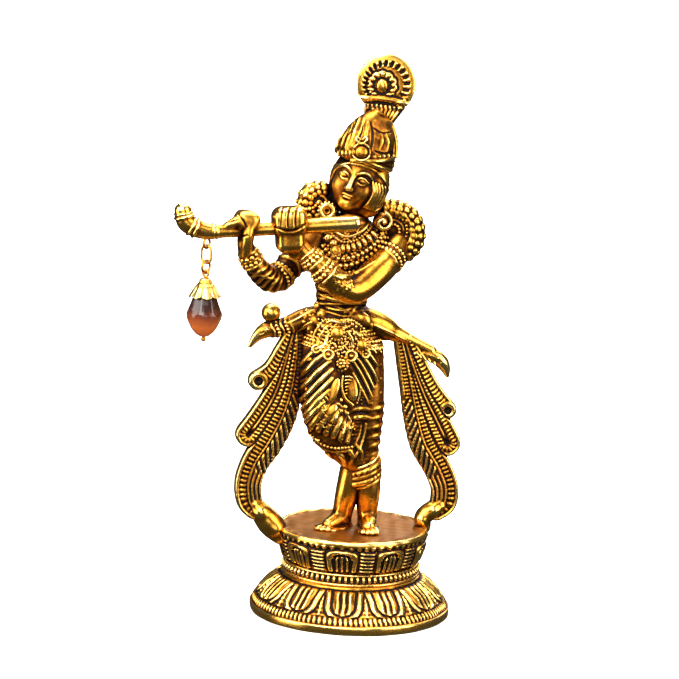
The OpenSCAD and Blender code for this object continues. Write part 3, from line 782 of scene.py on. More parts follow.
# the waist: thin folds in dark cloth, a knot of cloth on the right hip and smooth cloth on the left
for i, z in enumerate((WZ - 2.6, WZ - 4.2, WZ - 5.8, WZ - 7.4)):
    dress.line(on_dress([(a, z + 1.1*math.sin(math.radians(a*1.5 + 40*i))) for a in range(0, 361, 20)], 0.2, sd), 0.5, 0.2, steps=3)
stroke(sd, dress, [(319, 303), (331, 309), (346, 310), (360, 304)], [0.3, 0.55, 0.3], 0.1, 0.15)
stroke(sd, dress, [(348, 318), (354, 309), (365, 302)], [0.3, 0.6, 0.4], 0.1, 0.2)
for p, r in (((311, 314), 2.1), ((316, 321), 2.5), ((312, 328), 2.0), ((322, 314), 1.9), ((306, 321), 1.9), ((318, 306), 1.7)):
    lump(sd, dress, p, (r, 1.5, r), 20, 0.5, 0.8)
for p, r in (((361, 319), (3.4, 1.5, 2.4)), ((367, 324), (2.6, 1.5, 2.0)), ((355, 317), (2.2, 1.2, 1.8))):
    lump(sd, dress, p, r, 15, 0.7, 1.2)
stroke(sd, dress, [(364, 334), (373, 342), (381, 352)], 0.5, 0.0, 0.1, bead=1.15)
stroke(sd, dress, [(358, 333), (367, 342), (376, 353)], 0.55, 0.15, 0.12)
fire(dress, "wrapped_dress", "dhoti", GOLD)

# leaves that lie over the pleats
sash = Clay((-17, -18, 62), (7, -4, 97), 0.24)


def leaf(p, w, l, deg, d=1.0):
    Q, ok = draw(sd, [p], -0.1)
    R = FACING @ turn("Y", deg)
    sash.ell(Q[0], (w, d, l), R, 0.12)
    sash.line([Q[0] + R @ A(0, -d*0.95, -l*0.7), Q[0] + R @ A(0.15*w, -d*1.1, 0), Q[0] + R @ A(0, -d*0.9, l*0.7)], 0.16, 0.08, cut=True)


leaf((333.5, 391), 1.75, 4.9, 20)
leaf((331, 411), 1.75, 3.0, 42)
leaf((351, 387), 2.3, 4.9, -12)
for i in range(5):
    stroke(sd, sash, [(315 + 2.9*i, 402 + 0.9*i), (318 + 2.9*i, 412 + 0.7*i)], [0.35, 0.55, 0.4], 0.0, 0.1)
for i in range(4):
    stroke(sd, sash, [(318 + 3*i, 399 - 2.2*i), (322 + 3*i, 406 - 2.4*i)], [0.35, 0.55, 0.35], 0.0, 0.1)
for i in range(6):
    stroke(sd, sash, [(345, 377 + 3.4*i), (349, 376.4 + 3.4*i), (353, 378 + 3.4*i)], [0.2, 0.4, 0.2], -0.45, 0.15)
stroke(sd, sash, [(343, 376), (341.5, 387), (345, 398), (353, 405)], [0.4, 0.65, 0.5], 0.0, 0.12)
stroke(sd, sash, [(355, 376), (360, 388), (358, 401)], [0.4, 0.6, 0.4], 0.0, 0.12)
for p, r in (((341, 400), 0.8), ((345, 407), 0.95), ((341, 411), 0.75), ((347, 413), 0.8), ((338, 404), 0.7)):
    lump(sd, sash, p, r, 0, 0.0)
stroke(sd, sash, [(340, 405), (346, 413), (351, 422)], [0.5, 0.7, 0.4], 0.1, 0.2)
fire(sash, "front_sash_leaves", "front_sash", GOLD, keep=0)

hemc = Clay((-9, -13, 46), (11, 7, 61), 0.26)
for n, (dz, r) in enumerate(((1.1, 0.6), (-0.9, 0.85), (-2.7, 0.6), (-4.4, 0.85), (-6.0, 0.6))):
    R = turn("X", 8) @ turn("Y", -24)
    pts = [A(1.7 + 0.45*n, -3.1 - 0.15*n, 54.4 + dz) + R @ A((6.2 - 0.22*n)*math.cos(a), (5.9 - 0.2*n)*math.sin(a), 0) for a in np.linspace(0, 2*math.pi, 41)]
    if n % 2:
        for q in spaced(pts, 1.9):
            hemc.ell(q, (0.95, 0.95, 0.8), R, 0.12)
    else:
        hemc.line(pts, r, 0.2, steps=2)
core = [A(2.4, -3.3, 52.2) + turn("X", 8) @ turn("Y", -24) @ A(5.6*math.cos(a), 5.3*math.sin(a), 0) for a in np.linspace(0, 2*math.pi, 41)]
for dz in (-2.4, -0.4, 1.6):
    hemc.line([q + A(0, 0, dz) for q in core], 1.2, 0.4, steps=1)
fire(hemc, "hem_rings", "hem_band", GOLD)

# the belt: chased rows all round, and a crust of small work in front
belt = Clay((-24, -15, 90), (10, 12, 107), 0.26)
for dz, r, bead in ((3.0, 0.5, 0), (1.7, 0.72, 1), (0.4, 0.45, 0), (-0.9, 0.72, 1), (-2.2, 0.5, 0), (-3.3, 0.6, 1)):
    pts = on_dress([(a, 100.6 + dz - 1.3*math.cos(math.radians(a)) + 0.3*math.sin(math.radians(3*a))) for a in range(38, 323, 6)], -0.05, sd)
    if bead:
        belt.beads(pts, r, 2.0*r)
    else:
        belt.line(pts, r, 0.2, steps=2)
pebbles(sd, belt, [(312, 322), (322, 317), (336, 319), (352, 321), (364, 328), (372, 340), (366, 352), (350, 351), (338, 355), (322, 352), (312, 342)],
        230, 0.36, 0.74, 0.05, 0.16, seed=5)
for pts in ([(313, 340), (316, 331), (321, 324)], [(318, 345), (321, 335), (326, 327)], [(327, 322), (333, 321), (342, 323), (349, 320)],
            [(322, 349), (326, 341), (329, 334)], [(347, 331), (352, 339), (352, 347)], [(354, 331), (360, 337)]):
    stroke(sd, belt, pts, [0.3, 0.6, 0.35], -0.25, 0.15)
stroke(sd, belt, [(318, 325), (327, 319.5), (338, 320.5), (350, 319), (361, 326)], 0.55, -0.1, 0.1, bead=1.15)
fire(belt, "waist_belt_beaded", "waist_belt", GOLD, keep=0)

buckle = Clay((-22, -17, 82), (8, -4, 104), 0.22)
# two plain studs, then two ringed bosses with a cluster of small flowers between them
for p, r in (((337, 333), 2.35), ((361.5, 345), 2.1)):
    lump(sd, buckle, p, (r, 1.3, r), 0, -0.2)
    Q, ok = draw(sd, [p], -0.5)
    for b in np.linspace(0, 2*math.pi, 15)[:-1]:
        buckle.ball(Q[0] + FACING @ A(1.12*r*math.cos(b), 0.2, 1.12*r*math.sin(b)), 0.4, 0.1)
for p, r in (((328.3, 354.6), 1.95), ((351.4, 356), 2.05), ((316, 349), 1.5), ((366, 354), 1.5)):
    Q, ok = draw(sd, [p], -0.5)
    for b in np.linspace(0, 2*math.pi, 33)[:-1]:
        buckle.ball(Q[0] + FACING @ A(0.86*r*math.cos(b), -0.1, 0.86*r*math.sin(b)), 0.52, 0.1)
    buckle.ell(Q[0] + FACING @ A(0, 0.4, 0), (r*0.9, 0.9, r*0.9), FACING, 0.2)
    buckle.ball(Q[0] + FACING @ A(0, -0.35, 0), 0.5*r*0.55, 0.12)
Q, ok = draw(sd, [(341, 363.5)], -0.3)
buckle.ell(Q[0], (2.6, 1.2, 2.5), FACING, 0.3)
for n, rad in ((1, 0), (7, 1.25), (13, 2.5)):
    for b in np.linspace(0, 2*math.pi, n + 1)[:-1]:
        q = Q[0] + FACING @ A(rad*math.cos(b), -1.1 + 0.16*rad*rad, rad*math.sin(b))
        buckle.ball(q, 0.62 if rad < 2 else 0.55, 0.08)
fire(buckle, "belt_bosses", "belt_buckle", GOLD, keep=0)

# ---------- trunk ----------

SZ = 134.0
torso = Clay((-24, -13, WZ - 4), (15, 10, SZ + 13), 0.28)
TRUNK = [(-7.6, 0, WZ-3, 9, 6.2, 2), (-7.6, 0, WZ+3, 9.2, 6.4, 2.5), (-7.2, 0, SZ-12, 10.8, 7.2, 3), (-5.6, 0, SZ-6, 13, 8, 3.5),
         (-4.4, 0, SZ, 14.4, 7.4, 3.5), (-4.6, -0.6, SZ+4.5, 8, 6, 2.5), (-5.2, -1.4, SZ+9.5, 4.8, 4.8, 2)]
tk = np.array(TRUNK)
torso.chain(curve(TRUNK, 5), 0.3)
torso.soften(1)


def trunk_axis(z):
    return np.interp(z, tk[:, 2], tk[:, 0]), np.interp(z, tk[:, 2], tk[:, 1])


plain = copy_of(torso)
# chased ground under the necklaces, drapery round the ribs, folds down the back
pebbles(plain, torso, [(312, 232), (330, 224), (352, 236), (374, 222), (384, 236), (372, 262), (352, 270), (326, 268), (310, 250)],
        150, 0.35, 0.62, 0.15, 0.15, seed=8)
for i, pts in enumerate(([(318, 270), (336, 276), (356, 276), (374, 266)], [(316, 276), (332, 283), (352, 285), (372, 276)],
                         [(314, 284), (330, 291), (350, 293), (368, 286)], [(316, 292), (332, 299), (350, 300), (364, 294)])):
    stroke(plain, torso, pts, [0.5, 0.95, 0.95, 0.5], 0.3, 0.25)
for z, s in ((WZ - 1, 0.5), (WZ + 0.7, -0.4), (WZ + 2.2, 0.5), (WZ + 3.8, -0.4)):
    torso.line(plain.wrap([(a, z + s*math.sin(math.radians(a + 60))) for a in range(0, 361, 20)], trunk_axis, 0.1), 0.52, 0.2, steps=2)
for i in range(11):
    a = 115 + 13*i
    torso.line(plain.wrap([(a, SZ + 1), (a + 3*math.sin(2*i), SZ - 8), (a, WZ + 6)], trunk_axis, 0.3), [0.4, 0.85, 0.6], 0.3)
for z in (SZ + 7.2, SZ + 8.9):
    torso.line(plain.wrap([(a, z) for a in range(0, 361, 24)], trunk_axis, 0.3), 0.42, 0.2, steps=2)
fire(torso, "torso_body", "torso", GOLD)


def droop(a, top, depth):
    return top - depth * math.cos(math.radians(a) * 0.5)**4


def beads_round(clay, z, depth, r, a0=66, squash=1.0):
    """Beads round the back of the neck, from shoulder to shoulder."""
    pts = plain.wrap([(a, droop(a, z, depth)) for a in range(a0, 361 - a0, 6)], trunk_axis, -0.1)
    for q in spaced(pts, 2.05*r):
        a = math.degrees(math.atan2(q[0] + 5, -q[1]))
        clay.ell(q, (r, r*0.9, r*squash), turn("Z", a), 0.1)


# the collar: blocks and a round medallion, then upright drops
collar = Clay((-20, -15, SZ - 9), (12, 10, SZ + 9), 0.22)
for p, r, deg in (((317, 227), 1.25, 46), ((322.4, 232), 1.45, 46), ((328.2, 237.6), 1.5, 46), ((333.4, 243), 1.35, 46)):
    lump(plain, collar, p, (r*0.92, 1.15, r*1.05), deg, -0.5, 0.06)
for p, deg in (((342.8, 248.5), 4), ((348, 248), 0), ((353.4, 246.8), -8), ((358.8, 244.6), -18), ((364, 241.6), -28), ((369, 238), -34), ((373.6, 234), -40)):
    lump(plain, collar, p, (0.98, 1.15, 1.6), deg, -0.4, 0.06)
Q, ok = draw(plain, [(336, 250.5)], -0.9)
collar.ell(Q[0], (2.1, 0.9, 2.1), FACING, 0.1)
collar.shape(lambda x, y, z: np.abs(np.sqrt((x-Q[0][0])**2 + (y-Q[0][1])**2 + (z-Q[0][2])**2) - 1.75) - 0.1, Q[0] - 3, Q[0] + 3, 0.1, cut=True)
collar.ball(Q[0] + FACING @ A(0, -0.8, 0), 0.4, 0.1)
stroke(plain, collar, [(320, 222), (329, 231), (340, 241), (352, 241.5), (364, 235), (373, 225)], 0.5, -0.1, 0.1, bead=1.1)
stroke(plain, collar, [(322, 218), (331, 227), (341, 235), (352, 236), (363, 230), (371, 220)], 0.55, 0.0, 0.12)
for z, d, r, s in ((SZ+6.4, 1.5, 0.75, 1), (SZ+4.8, 1.0, 0.55, 1), (SZ+3.2, 0.5, 1.05, 1.35)):
    beads_round(collar, z, d, r, 70, s)
fire(collar, "collar_beads", "collar_necklace", GOLD, keep=0)

lace = Clay((-23, -16, SZ - 17), (15, 8, SZ + 5), 0.22)
for dy, r, gap in ((1.5, 0.82, 1.75), (9.5, 0.92, 1.95), (17.5, 0.7, 1.5)):
    stroke(plain, lace, [(313 + 0.2*dy, 231 + 0.9*dy), (322, 244 + dy), (336, 256.5 + 0.9*dy), (352, 256 + 0.9*dy), (366, 249.5 + 0.9*dy), (378, 240 + 0.8*dy),
                         (384, 231 + 0.7*dy)], r, -0.1, 0.1, bead=gap)
stroke(plain, lace, [(318, 248), (330, 262), (346, 266), (362, 260), (376, 250)], 0.4, 0.0, 0.12)
for z, d, r in ((SZ+1.6, 0, 0.7), (SZ+0.1, 0, 0.85)):
    beads_round(lace, z, d, r, 74)
fire(lace, "long_necklace_beads", "long_necklace", GOLD, keep=0)

# ---------- arms ----------

RARM = [(-18.5, 0.5, SZ, 5.3), (-27, -4.5, 126, 4.9), (-33.6, -9.5, 121.2, 4.4), (-39.6, -13, 125, 3.9), (-43.6, -15, 130.5, 3.2), (-45.2, -15.4, 134.4, 2.8)]
LARM = [(11, 0, SZ-1.5, 5.8), (4, -8, 125.5, 5.6), (-6.6, -14.2, 118.7, 5.0), (-15, -17, 123.5, 4.4), (-22, -16.6, 130, 3.5), (-26.6, -15.6, 135, 3.0)]


def ring_round(P, s, r_out):
    """Points on a ring round a limb at fraction s."""
    K = curve(P, 12)
    i = int(s * (len(K) - 1))
    way = K[min(i+1, len(K)-1), :3] - K[max(i-1, 0), :3]
    way /= np.linalg.norm(way)
    u = np.cross(way, (0, 0, 1)); u /= np.linalg.norm(u)
    v = np.cross(way, u)
    return [K[i, :3] + (K[i, 3] + r_out)*(math.cos(a)*u + math.sin(a)*v) for a in np.linspace(0, 2*math.pi, 33)], way


rarm = Clay((-50, -20, 113), (-11, 8, 141), 0.27)
rarm.chain(curve(RARM, 8), 0.3)
rarm.soften(2)
arm0 = copy_of(rarm)
# a sleeve of soft rucks, and a beaded armlet
for s, r in ((0.12, 0.7), (0.17, 0.8), (0.23, 0.7), (0.42, 0.6), (0.475, 0.75), (0.53, 0.65), (0.58, 0.7), (0.635, 0.6)):
    pts, way = ring_round(RARM, s, -0.25)
    rarm.line([q + way*0.5*math.sin(3*i*math.pi/16) for i, q in enumerate(pts)], r, 0.45, steps=1)
for s in (0.30, 0.35):
    rarm.beads(ring_round(RARM, s, 0.05)[0], 0.78, 1.55)
rarm.line(ring_round(RARM, 0.325, 0.2)[0], 0.5, 0.15, steps=1)
stroke(arm0, rarm, [(250, 272), (262, 276), (274, 279), (285, 277)], [0.3, 0.7, 0.3], 0.3, 0.3)
# the brown gold on this arm is partly patina and partly painted shade, as the arm lies in shadow
fire(rarm, "right_arm_cast", "right_arm", BROWN)

larm = Clay((-31, -24, 111), (19, 8, 141), 0.27)
larm.chain(curve(LARM, 8), 0.3)
larm.soften(2)
arm0 = copy_of(larm)
# worn small work at the elbow, and a fold of cloth that lies in the crook
pebbles(arm0, larm, [(334, 276), (350, 276), (354, 286), (346, 293), (334, 289)], 34, 0.35, 0.6, 0.25, 0.25, seed=9)
stroke(arm0, larm, [(322, 270), (338, 277), (356, 274), (374, 262)], [0.4, 1.0, 1.1, 0.5], 0.6, 0.5)
stroke(arm0, larm, [(386, 250), (393, 256), (398, 265)], [0.4, 0.6, 0.4], 0.2, 0.2)
for s in (0.10, 0.135):
    larm.beads(ring_round(LARM, s, 0.0)[0], 0.7, 1.5)
fire(larm, "left_arm_cast", "left_arm", SMOOTH)

rb = Clay((-50, -21, 122), (-36, -7, 137), 0.22)
for s, r, b in ((0.70, 0.5, 0), (0.735, 0.85, 1), (0.775, 0.55, 0), (0.815, 0.9, 1), (0.85, 0.55, 0)):
    pts, _ = ring_round(RARM, s, 0.15)
    rb.beads(pts, r, 2.05*r) if b else rb.line(pts, r, 0.15, steps=1)
fire(rb, "right_bangles", "right_bangle", BROWN, keep=0)

lb = Clay((-31, -24, 119), (-12, -8, 140), 0.22)
for s, r, b in ((0.64, 0.55, 0), (0.675, 0.9, 1), (0.715, 0.7, 1), (0.75, 0.5, 0), (0.79, 0.95, 1), (0.83, 0.7, 1), (0.865, 0.55, 0)):
    pts, _ = ring_round(LARM, s, 0.2)
    lb.beads(pts, r, 2.0*r) if b else lb.line(pts, r, 0.15, steps=1)
fire(lb, "left_cuff", "left_bangle", GOLD, keep=0)

# ---------- hands ----------

FY = -16.0
FLUTE = [(-7.4, FY, 142.4, 2.9), (-20, FY, 141.4, 2.7), (-38, FY, 139.8, 2.3), (-53, FY, 138.8, 2.3), (-60, FY, 139, 3.0),
         (-65.6, FY, 141.4, 3.3), (-67.2, FY, 145.6, 3.0)]
fkn = np.array(FLUTE)


def flute_z(x):
    o = np.argsort(fkn[:5, 0])
    return float(np.interp(x, fkn[:5, 0][o], fkn[:5, 2][o]))


def block(clay, c, half, r, k=0.6, R=None):
    """A rounded block, half as given, with edges of radius r."""
    c, half = A(*c), A(*half)
    R = np.eye(3) if R is None else R

    def f(x, y, z):
        X, Y, Q = x - c[0], y - c[1], z - c[2]
        q = [np.abs(R[0, i]*X + R[1, i]*Y + R[2, i]*Q) - half[i] + r for i in range(3)]
        return np.sqrt(sum(np.maximum(v, 0)**2 for v in q)) + np.minimum(np.maximum(np.maximum(q[0], q[1]), q[2]), 0) - r
    clay.shape(f, c - half.max()*1.3, c + half.max()*1.3, k)


lh = Clay((-38, -23, 129), (-22, -8, 149), 0.22)
block(lh, (-30.2, -15.9, 142.9), (6.1, 5.2, 5.0), 3.6, 0.3, turn("Y", -4))
block(lh, (-29.7, -15.6, 137.4), (5.0, 4.7, 5.6), 3.0, 0.8, turn("Y", -4))
lh.chain([(-28.6, -15.4, 134.4, 3.4), (-27.4, -15.4, 132, 2.9)], 1.0)
lh.soften(2)
fist = copy_of(lh)
# three worn grooves between the fingers, the step where they end, and the thumb behind
for x in (281.5, 288.5, 296):
    stroke(fist, lh, [(x + 1.5, 205), (x + 0.2, 213), (x - 0.6, 221), (x - 0.5, 228)], [0.25, 0.42, 0.42, 0.3], 0.0, 0.35, cut=True)
stroke(fist, lh, [(274, 227), (284, 230.5), (296, 230), (306, 224)], [0.3, 0.5, 0.5, 0.3], 0.0, 0.5, cut=True)
lh.chain(curve([(-27.4, -11.4, 136, 1.9), (-31, -10.6, 137.6, 1.8), (-34.4, -11.6, 138.6, 1.4)]), 0.4)
fire(lh, "left_hand_cast", "left_hand", SMOOTH)

rh = Clay((-55, -23, 129), (-39, -8, 148), 0.22)
block(rh, (-45.0, -15.8, 142.4), (4.4, 4.9, 3.7), 3.0, 0.3, turn("Y", 8))
rh.chain(curve([(-44.6, -17.6, 143.6, 2.6), (-48.4, -18.2, 142.6, 2.1), (-51.2, -17.8, 141.2, 1.7), (-52.8, -16.8, 140.2, 1.2)]), 0.5)
rh.chain(curve([(-45, -13.8, 143.2, 2.2), (-48.6, -13.4, 141.8, 1.8), (-51.4, -13.6, 139.8, 1.3)]), 0.4)
rh.chain(curve([(-44.2, -18.6, 142, 2.1), (-44.9, -19.6, 138.4, 1.9), (-45.2, -19.0, 134.6, 1.9), (-45.2, -17.2, 131.6, 2.1)]), 0.5)
rh.chain([(-44.4, -13.4, 140, 3.0), (-45, -14.4, 135.4, 2.9), (-45, -15.2, 131.8, 2.6)], 0.8)
rh.soften(2)
palm = copy_of(rh)
stroke(palm, rh, [(222, 220), (230, 221.5), (238, 219.5)], [0.2, 0.35, 0.2], 0.0, 0.3, cut=True)
stroke(palm, rh, [(238, 214), (243, 220), (246, 227)], [0.2, 0.4, 0.2], 0.0, 0.4, cut=True)
stroke(palm, rh, [(241.5, 236), (247.5, 235.6)], [0.2, 0.3, 0.2], 0.0, 0.3, cut=True)
fire(rh, "right_hand_cast", "right_hand", GOLD)

# ---------- head ----------

HC = A(-4.2, -3, 156)
LEAN = turn("Y", 18)
HEAD = LEAN @ turn("Z", -24)


def hp(x, y, z):
    return HC + HEAD @ A(x, y, z)


head = Clay((-20, -18, 142), (12, 10, 168), 0.2)
head.ell(hp(0, -0.6, 1), (8.3, 8.9, 9.6), HEAD, 0.3)
head.ell(hp(0, -2.6, -4.6), (6.6, 6.6, 6.4), HEAD, 2.0)
head.ell(hp(0, -6.6, -9.0), (2.4, 2.1, 1.9), HEAD, 1.6)
for s in (-1, 1):
    head.ell(hp(4.0*s, -5.4, -3.2), (2.9, 2.9, 3.3), HEAD, 1.5)
    # the socket, the ball of the eye and its lids
    head.ell(hp(3.3*s, -9.6, 0.6), (2.4, 1.3, 1.3), HEAD, 0.8, cut=True)
    head.ell(hp(3.4*s, -7.6, 0.4), (1.95, 1.35, 1.15), HEAD, 0.25)
    head.line([hp(1.3*s, -8.7, 0.1), hp(2.4*s, -9.0, 1.15), hp(3.8*s, -8.9, 1.35), hp(5.6*s, -7.7, 0.5)], [0.22, 0.36, 0.36, 0.2], 0.12)
    head.line([hp(1.3*s, -8.7, 0.0), hp(2.6*s, -8.9, -0.85), hp(4.0*s, -8.6, -0.85), hp(5.5*s, -7.6, 0.2)], [0.2, 0.28, 0.28, 0.18], 0.12)
    head.line([hp(1.0*s, -9.1, 2.0), hp(2.7*s, -9.2, 3.2), hp(4.6*s, -8.5, 3.3), hp(6.6*s, -6.8, 1.9)], [0.3, 0.5, 0.45, 0.2], 0.25)
    head.ball(hp(1.0*s, -9.9, -3.5), 0.75, 0.4)
head.line([hp(0, -8.7, 2.2), hp(0, -9.7, 0.2), hp(0, -10.8, -2.2), hp(0, -11.0, -3.3)], [0.7, 0.75, 0.95, 1.1], 0.7)
head.ell(hp(0, -8.7, -5.7), (2.1, 0.95, 0.48), HEAD, 0.2)
head.ell(hp(0, -8.6, -6.6), (1.7, 0.95, 0.52), HEAD, 0.2)
head.line([hp(-1.9, -9.2, -6.1), hp(0, -9.9, -6.12), hp(1.9, -9.2, -6.1)], 0.14, 0.1, cut=True)
head.ell(hp(0, -9.5, -7.7), (1.3, 0.7, 0.5), HEAD, 0.6, cut=True)
fire(head, "head_cast", "head", FACE)

hair = Clay((-20, -15, 140), (14, 12, 170), 0.24)
hair.ell(hp(0, 1.2, 1), (9.9, 8.6, 10.6), HEAD, 0.3)
hair.ell(hp(0, 2.6, -5), (9.2, 6.8, 7), HEAD, 1.5)
hair.ell(hp(0, 1.6, -9), (8.2, 5.4, 4), HEAD, 1.5)
hair.ell(hp(6.6, -0.4, -1.5), (4.8, 6.2, 8.8), HEAD, 1.2)
hair.ell(hp(6.0, 1.0, -8.0), (4.4, 4.8, 3.6), HEAD, 1.2)
# the face is clear of it
hair.ell(hp(-1.2, -9, -2.8), (6.6, 7.6, 7.6), HEAD, 0.5, cut=True)
locks = copy_of(hair)
grid = np.stack(np.meshgrid(*[hair.lo[k] + hair.h*np.arange(hair.d.shape[k]) for k in range(3)], indexing="ij"), -1)
locks.d = np.minimum(locks.d, head.at(grid)).astype(np.float32)
# locks that sweep from the parting down past the cheek, close together
for i in range(8):
    stroke(locks, hair, [(352 + 3.2*i, 163.5 - 0.6*i), (366 + 2.6*i, 166.5 - 0.7*i), (379 + 1.7*i, 174 - 0.2*i), (388 + 0.8*i, 186 + 0.6*i)],
           [0.4, 0.66, 0.66, 0.4], -0.12, 0.08)
for i in range(6):
    stroke(locks, hair, [(350 - 2.6*i, 163 + 0.3*i), (341 - 1.8*i, 165 + 0.8*i), (335 - 1.0*i, 171 + 1.4*i), (331 - 0.4*i, 181 + 2*i)],
           [0.4, 0.6, 0.55, 0.35], -0.05, 0.08)
for i in range(7):
    stroke(locks, hair, [(373 + 3.0*i, 182 + 1.2*i), (374 + 2.6*i, 192 + 0.8*i), (370 + 2.2*i, 201 + i), (364 + 2.2*i, 207 + 0.8*i)], [0.4, 0.62, 0.6, 0.4], -0.05, 0.1)
for i in range(15):
    t = math.radians(100 + 11.5*i)
    pts = []
    for q in np.linspace(-0.35, 1.25, 7):
        w = LEAN @ A(math.sin(t)*math.cos(q), -math.cos(t)*math.cos(q), -math.sin(q))
        pts.append(locks.skin(HC + A(0.6, 1.5, -2), w, reach=22, sink=0.2))
    hair.line(pts, [0.5, 0.85, 0.85, 0.6], 0.15)
fire(hair, "hair_strands", "hair", GOLD)

CR = LEAN


def cp(x, y, z):
    return HC + CR @ (A(-0.4, 0.6, 7) + A(x, y, z))


crown = Clay((-21, -18, 157), (19, 15, 184), 0.25)
CPROF = [(0, -1), (10.0, -1), (10.5, 0.4), (10.4, 2.4), (9.9, 5), (8.6, 9.4), (6.6, 13), (4.5, 16), (2.8, 17.2), (0, 17.3)]


def crown_f(x, y, z):
    X, Y, Q = x - HC[0], y - HC[1], z - HC[2]
    a = CR[0, 0]*X + CR[1, 0]*Y + CR[2, 0]*Q + 0.4
    b = CR[0, 1]*X + CR[1, 1]*Y + CR[2, 1]*Q - 0.6
    c = CR[0, 2]*X + CR[1, 2]*Y + CR[2, 2]*Q - 7
    r, th = np.sqrt(a*a + b*b), np.arctan2(a, -b)
    z0 = np.array([q[1] for q in CPROF[1:-1]]); r0 = np.array([q[0] for q in CPROF[1:-1]])
    d = (r - np.interp(c, z0, r0)) * 0.88
    d = np.maximum(d, np.maximum(-1 - c, c - 17.3))
    # broad leaves round the sides and the back, with soft folds in them
    u = (th * 7 / (2*math.pi) + 0.06*np.sin(0.4*c)) % 1.0 - 0.5
    behind = np.clip((np.abs(th + 0.2) - 1.0)/0.35, 0, 1)
    w = np.clip((c - 4.0) / 1.0, 0, 1) * np.clip((16.8 - c) / 2, 0, 1) * behind
    leaf = 0.7*np.clip(1 - (np.abs(u)/0.47)**2, 0, 1) - 0.55*np.exp(-((np.abs(u) - 0.5)/0.05)**2) + 0.25*np.cos(2*math.pi*(np.abs(u)*5 - c*0.12))
    d = d - w*leaf*np.clip(r/6, 0.25, 1)
    return d - ridge(c, -0.1, 0.9, 0.5) - ridge(c, 3.4, 0.55, 0.5)*behind - behind*ridge(c, 1.7, 1.0, 0.5)*(0.5 + 0.5*np.cos(36*th))


crown.shape(crown_f, (-21, -18, 157), (19, 15, 184), 0.2)
cap0 = copy_of(crown)
# a broad leaf wraps the front, with soft folds that fan up to its tip, and a smaller one lies behind it on the left
crown.chain(curve([(*cp(-5.2, -4.4, 3.6), 5.4), (*cp(-4.6, -4.2, 8.4), 5.0), (*cp(-3.2, -3.0, 12.8), 3.9), (*cp(-2.0, -1.8, 15.8), 2.6)]), 1.4)
crown.chain(curve([(*cp(3.4, -4.4, 4.6), 4.2), (*cp(3.2, -3.4, 9.6), 3.6), (*cp(2.2, -1.4, 13.6), 2.6)]), 0.6)
front = copy_of(crown)
for b0, b1, m, r in (((335, 150), (348, 129), (340, 139), 0.6), ((340, 151), (353, 124), (345, 137), 0.8), ((345.5, 148), (356, 119), (350, 134), 0.55),
                     ((351, 143), (360, 117), (355.5, 130), 0.85), ((358, 140), (364, 119), (361.5, 130), 0.6), ((364, 142), (368, 123), (366.5, 132), 0.7)):
    stroke(front, crown, [b0, m, b1], [0.3, r, 0.35], 0.38, 0.45)
for pts in ([(345, 140), (351, 131), (354, 122)], [(356, 144), (361, 134), (363, 126)], [(338, 146), (343, 136), (349, 128)]):
    stroke(front, crown, pts, [0.15, 0.32, 0.15], 0.0, 0.25, cut=True)
stroke(front, crown, [(371, 150), (373, 136), (371, 122)], [0.3, 0.5, 0.3], -0.05, 0.25, cut=True)
for pts in ([(374, 128), (382, 133), (392, 132)], [(375, 151), (385, 154), (393, 151)]):
    stroke(front, crown, pts, [0.25, 0.42, 0.25], -0.05, 0.25, cut=True)
for pts in ([(379, 149), (382, 141), (381, 134)], [(387, 150), (388, 142), (386, 134)]):
    stroke(front, crown, pts, [0.3, 0.7, 0.3], 0.45, 0.5)
# the plain band, and the row of small leaves that stands on it
stroke(cap0, crown, [(330, 157), (340, 158.6), (352, 160), (366, 161), (380, 161), (393, 158)], 0.8, 0.3, 0.3)
for i in range(6):
    lump(front, crown, (335 + 3.9*i, 153.8 - 0.3*i), (0.7, 0.6, 1.2), -14 + 4*i, 0.25)
for i in range(5):
    lump(front, crown, (374 + 4.6*i, 156.8 - 0.3*i), (0.9, 0.5, 0.7), 6 + 2*i, 0.3)
fire(crown, "crown_cast", "crown", GOLD)

boss = Clay((-16, -20, 157), (4, -4, 176), 0.2)
Q, ok = draw(front, [(361.5, 152)], -0.4)
c0 = Q[0]
R = FACING
boss.ell(c0 + R @ A(0, 0.8, 0), (3.5, 1.4, 3.3), R, 0.3)
boss.ell(c0, (2.3, 1.3, 2.2), R, 0.15)
boss.line([c0 + R @ A(2.6*math.cos(b), -0.15, 2.45*math.sin(b)) for b in np.linspace(0, 2*math.pi, 33)], 0.3, 0.1, steps=1, cut=True)
for a0, a1, rad in ((205, 335, 3.15), (30, 150, 3.0)):
    boss.line([c0 + R @ A(rad*math.cos(b), -0.3, rad*0.95*math.sin(b)) for b in np.radians(np.linspace(a0, a1, 13))], [0.25, 0.5, 0.25], 0.12)
for k in (-1, 1):
    boss.line([c0 + R @ A(0.7*k, -0.4, 3.0), c0 + R @ A(1.9*k, -0.5, 4.1), c0 + R @ A(1.5*k, -0.4, 5.2), c0 + R @ A(0.4*k, -0.2, 4.3)], [0.4, 0.5, 0.4, 0.3], 0.15)
fire(boss, "crown_jewel", "crown_boss", BROWN, keep=0)

# the feather disc
plo, phi = (np.array(v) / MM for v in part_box("plume"))
PR = 10.4
pc = A(4.8, -0.5, 200 - 10.5)
PRt = turn("Z", -8)
plume = Clay(plo - A(0.6, 1.2, 0.4), phi + A(0.6, 1.2, 0.4), 0.22)


